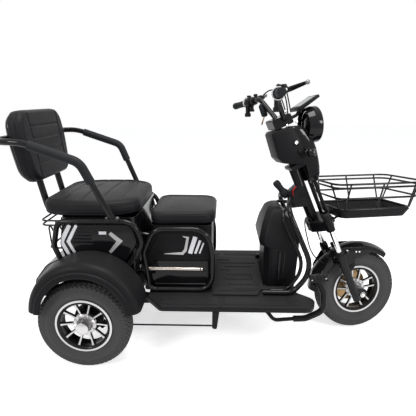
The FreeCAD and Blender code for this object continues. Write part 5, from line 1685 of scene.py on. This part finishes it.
@dataclass
class FootTrim:
    """Pod skin, ribs of the mat, pads of the running boards, battery rails and pedal."""

    deck: float = 0.258
    mat: float = 0.264

    def pod(self) -> None:
        """Pod: rounded rings with a hood over the lower panel, and a raised rib down each cheek."""
        rows = ((0.258, 0.735, 0.868, 0.128), (0.300, 0.734, 0.872, 0.128), (0.438, 0.733, 0.880, 0.1295),
                (0.442, 0.730, 0.880, 0.130), (0.449, 0.715, 0.880, 0.130), (0.470, 0.711, 0.880, 0.130),
                (0.505, 0.718, 0.872, 0.120), (0.540, 0.726, 0.862, 0.108), (0.590, 0.744, 0.812, 0.080),
                (0.602, 0.754, 0.806, 0.066), (0.606, 0.764, 0.800, 0.054))
        rings = []
        for z, rear, front, half in rows:
            corners = ((rear, 0.026 - half, z, 0.014), (rear, half - 0.026, z, 0.014),
                       (rear + 0.022, half, z, 0.014),
                       (front, half, z, 0.006), (front, -half, z, 0.006), (rear + 0.022, -half, z, 0.014))
            rings.append(rounded_route(corners, True, 8))
        piece("pod_skin", lofted(np.array(rings)), SATIN, 35, "shield_pod")
        panels, ribs = [], []
        for side in SIDES:
            panels.append(
                cheek(((0.764, 0.436, 0.004), (0.868, 0.436, 0.004), (0.850, 0.360, 0.03),
                (0.806, 0.272, 0.01), (0.768, 0.272, 0.004)), side, 0.1285, 0.1312, 0.0012))
            top, foot = (0.800, side * 0.1335, 0.432), (0.793, side * 0.1325, 0.276)
            ribs.append(tube((top, foot), 0.0055, sides=16))
            ribs.append(
                tube(((0.822, side * 0.1322, 0.432), (0.812, side * 0.1315, 0.300)), 0.0028, sides=12))
        piece("pod_cheeks", panels, SATIN, 35)
        piece("pod_ribs", ribs, GLOSS_TUBE, 50)

    def floor(self) -> None:
        """Ribs and a dotted patch on the mat, pads on the running boards and bolts under them."""
        top, ribs = self.mat + 0.0004, []
        for x0, x1, y in ((0.524, 0.590, 0.150), (0.540, 0.716, 0.112), (0.560, 0.700, 0.070),
                          (0.545, 0.590, 0.030), (0.575, 0.716, -0.118), (0.545, 0.700, -0.176)):
            ribs.append(tube(((x0, y, top), (x1, y, top)), 0.0024, sides=10))
        ribs.append(
            tube(((0.566, -0.016, top, 0.010), (0.690, -0.016, top, 0.010), (0.690, -0.070, top, 0.010),
            (0.566, -0.070, top, 0.010)), 0.0022, True, 10))
        ribs.append(tube(((0.690, -0.090, top), (0.716, -0.096, top, 0.02), (0.716, -0.160, top, 0.02),
                          (0.600, -0.160, top)), 0.0022, sides=10))
        dots = [turned(((TIP, -0.001), (0.0026, -0.001), (0.0022, 0.0009), (TIP, 0.0014)),
                       (0.576 + 0.0095 * i, -0.062 + 0.0095 * j, self.mat), (0, 0, 1), 8)
                for i in range(12) for j in range(5)]
        piece("mat_ribs", ribs + dots, RUBBER, 50)
        pads, seams = [], []
        for side in SIDES:
            low, high = sorted((side * 0.226, side * 0.286))
            pads += [box((0.302, low, self.deck - 0.002), (0.536, high, self.deck + 0.0016), 0.0012),
                     box((0.560, low, self.deck - 0.002), (0.812, high, self.deck + 0.0016), 0.0012)]
            low, high = sorted((side * 0.214, side * 0.3036))
            seams.append(box((0.5455, low, 0.236), (0.5475, high, 0.2588), 0.0004))
        piece("board_pads", pads, DECK_PAD, 35)
        piece("board_seams", seams, FRAME_PAINT, 35)
        bolt = hex_bolt((0.286, -0.2005, 0.182), (0, -1, 0), 0.009)
        piece("pivot_bolt", bolt, ZINC, 30)

    def rails(self) -> None:
        """Half-round rail along the battery box, its pale metal a painted highlight of the gloss ledge, with
        its end stops and the lower lip.
        """
        rails, stops = [], []
        for side in SIDES:
            y = side * 0.1645
            path = rounded_route(
                ((0.232, y, 0.358), (0.260, y, 0.3585), (0.450, y, 0.3565), (0.470, y, 0.356)), False)
            rails.append(swept(path, circle(0.0088, 20), False))
            stops += [
                turned(((TIP, 0), (0.0094, 0), (0.0094, 0.004), (TIP, 0.004)), (x, y, 0.356), (1, 0, 0), 18)
                for x in (0.458, 0.468, 0.478)]
            stops.append(
                tube(((0.262, side * 0.168, 0.288), (0.480, side * 0.168, 0.288)), 0.0035, sides=12))
        # The rail's pale metal stands in for the highlight along the gloss ledge.
        piece("battery_rails", rails, RAIL_PAINTED_HIGHLIGHT, 50)
        piece("battery_stops", stops, GLOSS_TUBE, 40)

    def pedal(self) -> None:
        """Pedal plate with ribs and two screws over the solid arm."""
        lean = math.atan2(0.010, 0.067)
        place = FIXED @ shift_by((0.905, 0, 0.360)) @ turn_about(LEVEL, -lean, np.zeros(3))
        ribs = [box((0.014 + 0.014 * i, -0.270, -0.002), (0.020 + 0.014 * i, -0.226, 0.0028),
                    0.001) for i in range(4)]
        piece("pedal_ribs", ribs, FRAME_PAINT, 30, place=place)
        screws = [
            turned(((TIP, 0), (0.0046, 0), (0.0040, 0.0022), (TIP, 0.0026)), (x, -0.268, 0.0), (0, 0, 1),
            14) for x in (0.006, 0.060)]
        piece("pedal_screws", screws, CHROME, 30, place=place)

    def build(self) -> None:
        """Makes the trim round the footwell."""
        self.pod()
        self.floor()
        self.rails()
        self.pedal()


@dataclass
class RunningGear:
    """Boots and seals on the fork legs, the front brake disc, springs, tail lamps and small bolts."""

    def fork(self) -> None:
        """Boots, dust seals and bolts on the fork, with the front brake."""
        seals, brights, boots = [], [], []
        for side in SIDES:
            seals.append(turned(((0.0112, 0.222), (0.0175, 0.222), (0.0185, 0.226), (0.0165, 0.236),
                                 (0.0140, 0.240), (0.0112, 0.241)), (0, side * 0.082, 0), (0, 0, 1), 32))
            boots.append(turned([(0.0165 + 0.0022 * (i % 2), 0.392 + 0.0045 * i) for i in range(0, 9)]
                                + [(0.0112, 0.432), (0.0112, 0.392)], (0, side * 0.082, 0), (0, 0, 1), 32))
            brights.append(hex_bolt((0.030, side * 0.0905, 0.0), (0, side, 0), 0.0085))
        on_fork("fork_seals", seals + boots, RUBBER, 30)
        on_fork("fork_bolts", brights, ZINC, 30)
        centre = (FRONT_AXLE[0], FRONT_AXLE[1] + 0.046, FRONT_AXLE[2])
        disc = turned(
            ((0.036, -0.0016), (0.080, -0.0016), (0.080, 0.0016), (0.036, 0.0016), (0.036, -0.0016)), centre,
            (0, 1, 0), 72)
        piece("front_brake_disc", disc, BRONZE, 30, body="front_wheel", place=STEERED)

    def fender_plates(self) -> None:
        """Side plates of the front fender with their brackets and screws."""
        front = ((1.073, 0.400, 0.006), (1.090, 0.405, 0.006), (1.196, 0.404, 0.02), (1.232, 0.384, 0.006),
                 (1.218, 0.372, 0.010), (1.151, 0.349, 0.012), (1.098, 0.360, 0.010))
        rear = ((1.034, 0.372, 0.006), (1.052, 0.340, 0.01), (0.996, 0.272, 0.006), (0.992, 0.300, 0.03))
        bracket = ((1.085, 0.385, 0.006), (1.145, 0.352, 0.008), (1.149, 0.317, 0.012),
                   (1.134, 0.290, 0.010), (1.116, 0.290, 0.006), (1.092, 0.340, 0.01))
        inner, middle, outer = 0.0515, 0.0545, 0.0575
        plates, brackets, dots = [], [], []
        for side in SIDES:
            plates += [cheek(outline, side, inner, middle, 0.001) for outline in (front, rear)]
            brackets.append(cheek(bracket, side, middle, outer, 0.001))
            dots += [
                turned(((TIP, 0), (0.0042, 0), (0.0036, 0.0018), (TIP, 0.0024)), (x, side * middle, z),
                (0, side, 0), 16) for x, z in ((1.106, 0.392), (1.150, 0.384), (1.166, 0.383))]
            brackets += [
                turned(((0.0035, 0.0), (0.0068, 0.0), (0.0060, 0.0016), (0.0035, 0.0012)),
                (x, side * outer, z), (0, side, 0), 24) for x, z in ((1.118, 0.349), (1.129, 0.321))]
        on_steering("fender_side_plates", plates, GLOSS_PANEL, 35)
        on_steering("fender_brackets", brackets, FRAME_PAINT, 35)
        on_steering("fender_screws", dots, CHROME, 35)

    def post(self) -> None:
        """Rounded knob and collar of the handle post."""
        foot, top = np.array([0.842, 0, 0.634]), np.array([0.784, 0, 0.706])
        knob = turned(
            ((TIP, 0.004), (0.0155, 0.004), (0.016, 0.013), (0.0195, 0.0145), (0.020, 0.018), (0.020, 0.033),
            (0.0185, 0.036), (0.0152, 0.038), (0.0140, 0.050), (0.0142, 0.062), (0.0158, 0.070),
            (0.0160, 0.080), (0.0150, 0.087), (0.0115, 0.0915), (TIP, 0.0925)), foot, top - foot, 40)
        piece("handle_knob", knob, GRIP, 50, "handle_post")

    def springs(self) -> None:
        """Coils of the rear shock absorbers round their damper rods."""
        foot, head = np.array([-0.054, 0, 0.172]), np.array([-0.080, 0, 0.348])
        along = (head - foot) / np.linalg.norm(head - foot)
        across = np.array([along[2], 0, -along[0]])
        coils, rods = [], []
        for side in SIDES:
            base = foot + np.array([0, side * 0.150, 0])
            t = np.linspace(0, 6.5 * 2 * math.pi, 260)
            climb = 0.030 + 0.100 * t / t[-1]
            path = (
                base + climb[:, None] * along + 0.0205 * (np.cos(t)[:, None] * across + np.sin(t)[:, None]
                * LEVEL))
            coils.append(swept(path, circle(0.0034, 10)))
            rods.append(
                turned(((TIP, 0.0), (0.013, 0.0), (0.013, 0.024), (0.024, 0.025), (0.024, 0.029),
                (0.014, 0.031), (0.014, 0.090), (0.008, 0.092), (0.008, 0.131), (0.024, 0.132),
                (0.024, 0.150), (0.011, 0.157), (0.011, 0.174), (TIP, 0.174)), base, along, 32))
            rods.append(
                turned(((TIP, -0.030), (0.008, -0.030), (0.008, 0.030), (TIP, 0.030)), base, (0, 1, 0), 24))
        piece("shock_dampers", rods, FRAME_PAINT, 35, "rear_shocks")
        piece("shock_coils", coils, GLOSS_TUBE, 60)

    def tail(self) -> None:
        """Lamps and reflectors on the tail guard."""
        lamps = []
        for y in (-0.150, 0.150):
            lamps.append(
                prism(((-0.2460, 0.286, 0.003), (-0.2440, 0.318, 0.003), (-0.2370, 0.318), (-0.2390, 0.286)),
                y - 0.045, y + 0.045, 0.001))
        piece("tail_lamps", lamps, RED_LENS, 30)
        plate = prism(
            ((-0.2450, 0.288), (-0.2430, 0.316), (-0.2380, 0.316), (-0.2395, 0.288)), -0.075, 0.075, 0.0006)
        piece("tail_plate", plate, WHITE_PLASTIC, 30)

    def screws(self) -> None:
        """Bolts of the arm brackets."""
        heads = []
        for side in SIDES:
            y = side * 0.2625
            heads += [hex_bolt((x, y, 0.614), (0, 0, 1), 0.0055) for x in (0.103, 0.143)]
            heads.append(hex_bolt((0.020, side * 0.2968, 0.826), (0, side, 0.1), 0.005))
        piece("bracket_bolts", heads, GREY_METAL, 30)

    def wires(self) -> None:
        """Brake cable and the red lead at the head tube."""
        Cable("red_lead", ((0.872, -0.028, 0.690), (0.862, -0.040, 0.684), (0.854, -0.042, 0.668),
                           (0.862, -0.034, 0.650)), 0.0044, 0.05, RED_WIRE, "chassis", FIXED).build()
        Cable(
            "front_brake_cable", ((-0.050, -0.034, 0.396), (-0.053, -0.034, 0.424), (-0.070, -0.032, 0.438),
            (-0.086, -0.028, 0.400), (-0.094, -0.024, 0.340), (-0.102, -0.024, 0.277),
            (-0.090, -0.028, 0.226), (-0.070, -0.032, 0.196)), 0.0055, 0.28, RUBBER, "steering",
            FORK).build()

    def build(self) -> None:
        """Makes the pieces of the running gear."""
        self.fork()
        self.fender_plates()
        self.post()
        self.springs()
        self.tail()
        self.screws()
        self.wires()


@dataclass
class Studio:
    """Plain pale floor, soft lamps and the camera."""

    eye: tuple[float, float, float] = (0.556 - MIDDLE, -1.677, 1.059)
    yaw: float = math.radians(-2.37)
    pitch: float = math.radians(15.84)
    roll: float = math.radians(-0.47)
    focal: float = 384.6
    image: float = 416.0
    floor_lift: float = 0.62
    floor_reach: float = 14.0

    @staticmethod
    def aimed(name: str, data: ID, place: Row, right: Array, up: Array) -> Object:
        """Object at a place, its X along right and its Y along up.

        Args:
            name: the object's name.
            data: what it holds.
            place: where it stands.
            right: unit vector of its X.
            up: unit vector of its Y.

        Returns:
            The object.
        """
        matrix = np.eye(4)
        matrix[:3, :3] = np.stack([right, up, np.cross(right, up)], -1)
        matrix[:3, 3] = place
        made = linked(name, data)
        made.matrix_world = Matrix(matrix.tolist())
        return made

    def camera(self) -> None:
        """Camera whose axes come from yaw, pitch down and roll."""
        ahead = np.array(
            [math.sin(self.yaw) * math.cos(self.pitch), math.cos(self.yaw) * math.cos(self.pitch),
            -math.sin(self.pitch)])
        right = np.cross(ahead, (0, 0, 1))
        right /= np.linalg.norm(right)
        up = np.cross(right, ahead)
        c, s = math.cos(self.roll), math.sin(self.roll)
        right, up = c * right + s * up, -s * right + c * up
        data = bpy.data.cameras.new("camera")
        data.sensor_width = 36.0
        data.lens = self.focal / self.image * data.sensor_width
        bpy.context.scene.camera = self.aimed("camera", data, self.eye, right, up)

    def lamp(self, name: str, place: Row, target: Row, size: float, power: float) -> None:
        """Square soft lamp that looks at a point.

        Args:
            name: the lamp's name.
            place: where it hangs.
            target: the point.
            size: its side.
            power: its power in watts.
        """
        data = bpy.data.lights.new(name, "AREA")
        data.size = size
        data.energy = power
        ahead = np.array(target, float) - np.array(place, float)
        ahead /= np.linalg.norm(ahead)
        side = np.cross(ahead, (0.0, 0.02, 1.0))
        side /= np.linalg.norm(side)
        self.aimed(name, data, place, side, np.cross(side, ahead))

    @staticmethod
    def seen(tree: NodeTree, path: Node) -> NodeSocket:
        """Socket that is one for camera, glossy and transmission rays."""
        total = path.outputs["Is Camera Ray"]
        for ray in ("Is Glossy Ray", "Is Transmission Ray"):
            total = maths(tree, "MAXIMUM", total, path.outputs[ray])
        return total

    def world(self) -> None:
        """World that looks white to the camera and in reflections, and lights a little less."""
        world = bpy.data.worlds.new("studio")
        world.use_nodes = True
        tree = world.node_tree
        tree.nodes.clear()
        new, link = tree.nodes.new, tree.links.new
        path, shown, light, mix, out = (
            new("ShaderNodeLightPath"), new("ShaderNodeBackground"), new("ShaderNodeBackground"),
            new("ShaderNodeMixShader"), new("ShaderNodeOutputWorld"))
        settings(shown, {"Color": (1, 1, 1)})
        settings(light, {"Color": (0.95, 0.96, 1.0), "Strength": 0.4})
        link(self.seen(tree, path), mix.inputs[0])
        link(light.outputs[0], mix.inputs[1])
        link(shown.outputs[0], mix.inputs[2])
        link(mix.outputs[0], out.inputs["Surface"])
        bpy.context.scene.world = world

    def floor(self) -> None:
        """Large pale floor, lifted to white for the camera while it keeps the shadow."""
        reach = self.floor_reach
        mesh = bpy.data.meshes.new("floor")
        mesh.from_pydata(
            [(-reach, -reach, 0), (reach, -reach, 0), (reach, reach, 0), (-reach, reach, 0)], [],
            [(0, 1, 2, 3)])
        material = bpy.data.materials.new("floor")
        material.use_nodes = True
        tree = material.node_tree
        shader = settings(tree.nodes["Principled BSDF"], {
            "Base Color": (0.9, 0.9, 0.9), "Roughness": 0.9, "Specular IOR Level": 0.1,
            "Emission Color": (1, 1, 1)})
        path = tree.nodes.new("ShaderNodeLightPath")
        lift = maths(tree, "MULTIPLY", self.seen(tree, path), self.floor_lift)
        tree.links.new(lift, shader.inputs["Emission Strength"])
        mesh.materials.append(material)
        linked("floor", mesh)

    def build(self) -> None:
        """Sets the stage."""
        self.camera()
        self.world()
        self.floor()
        self.lamp("overhead", (0.1, -0.5, 2.6), (0, 0, 0.4), 1.1, 55)
        self.lamp("front_left", (-2.2, -2.4, 2.0), (0, 0, 0.5), 0.8, 45)
        self.lamp("front_right", (2.3, -1.8, 1.7), (0.2, 0, 0.5), 0.7, 40)
        bpy.context.scene.view_settings.view_transform = "Standard"


def main() -> None:
    """Builds the tricycle's looks round the frame."""
    logging.basicConfig(level=logging.INFO, format="%(name)s: %(message)s")
    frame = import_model()
    Studio().build()

    RoadWheel("rear_left", "rear_left_wheel", np.array([0, 0.321, TYRE_RADIUS]), 1, FIXED).build(
        0.009, 0.031)
    RoadWheel("rear_right", "rear_right_wheel", np.array([0, -0.321, TYRE_RADIUS]), -1, FIXED).build(
        0.009, 0.031)
    RoadWheel("front", "front_wheel", FRONT_AXLE, -1, STEERED, True).build(0.006, 0.064)
    TubeWork().build()
    for side in SIDES:
        RearFender(side).build()
    SidePanels().build()
    Cushion("driver_seat_pad", "driver_cushion", "driver_seat",
            ((0.248, -0.165, 0.048), (0.524, -0.153, 0.056), (0.524, 0.153, 0.056), (0.248, 0.165, 0.048)),
            0.5543, 0.058, 0.010).build()
    Cushion("bench_seat_pad", "bench_cushion", "bench_seat",
            ((-0.186, -0.188, 0.06), (-0.060, -0.228, 0.2), (0.120, -0.228, 0.11), (0.210, -0.168, 0.07),
             (0.210, 0.168, 0.07), (0.120, 0.228, 0.11), (-0.060, 0.228, 0.2), (-0.186, 0.188, 0.06)),
            0.6063, 0.070, 0.014, channels=(-0.10, -0.02, 0.06, 0.14)).build()
    Backrest().build()
    SteeringHead().build()
    Cockpit().build()
    Films().build()
    FootTrim().build()
    RunningGear().build()

    eased = {
        "head_tube": (FRAME_PAINT, 0.002), "footwell_deck": (DECK, 0.0), "deck_mat": (RUBBER, 0.0015),
        "battery_box": (GLOSS_PANEL, 0.004), "driver_box": (SATIN, 0.001), "bench_box": (GLOSS_PANEL, 0.001),
        "drive_motor": (FRAME_PAINT, 0.004), "tail_guard": (GLOSS_PANEL, 0.001),
        "fork_crown": (FRAME_PAINT, 0.002), "brake_pedal": (FRAME_PAINT, 0.001),}
    for node, (finish, width) in eased.items():
        dressed(node, frame, finish, width)
    kept = {
        "frame_rails": FRAME_PAINT, "swing_arms": FRAME_PAINT, "rear_axle": FRAME_PAINT,
        "brake_linkage": FRAME_PAINT, "arm_brackets": GLOSS_TUBE, "arm_pad_left": GRIP,
        "arm_pad_right": GRIP, "fork_stanchions": CHROME, "fork_legs": GLOSS_TUBE, "handlebar": GLOSS_TUBE,
        "front_fender": GLOSS_PANEL, "basket_tray": SATIN,}
    for node, finish in kept.items():
        painted(node, frame, finish)


if __name__ == "__main__":
    main()
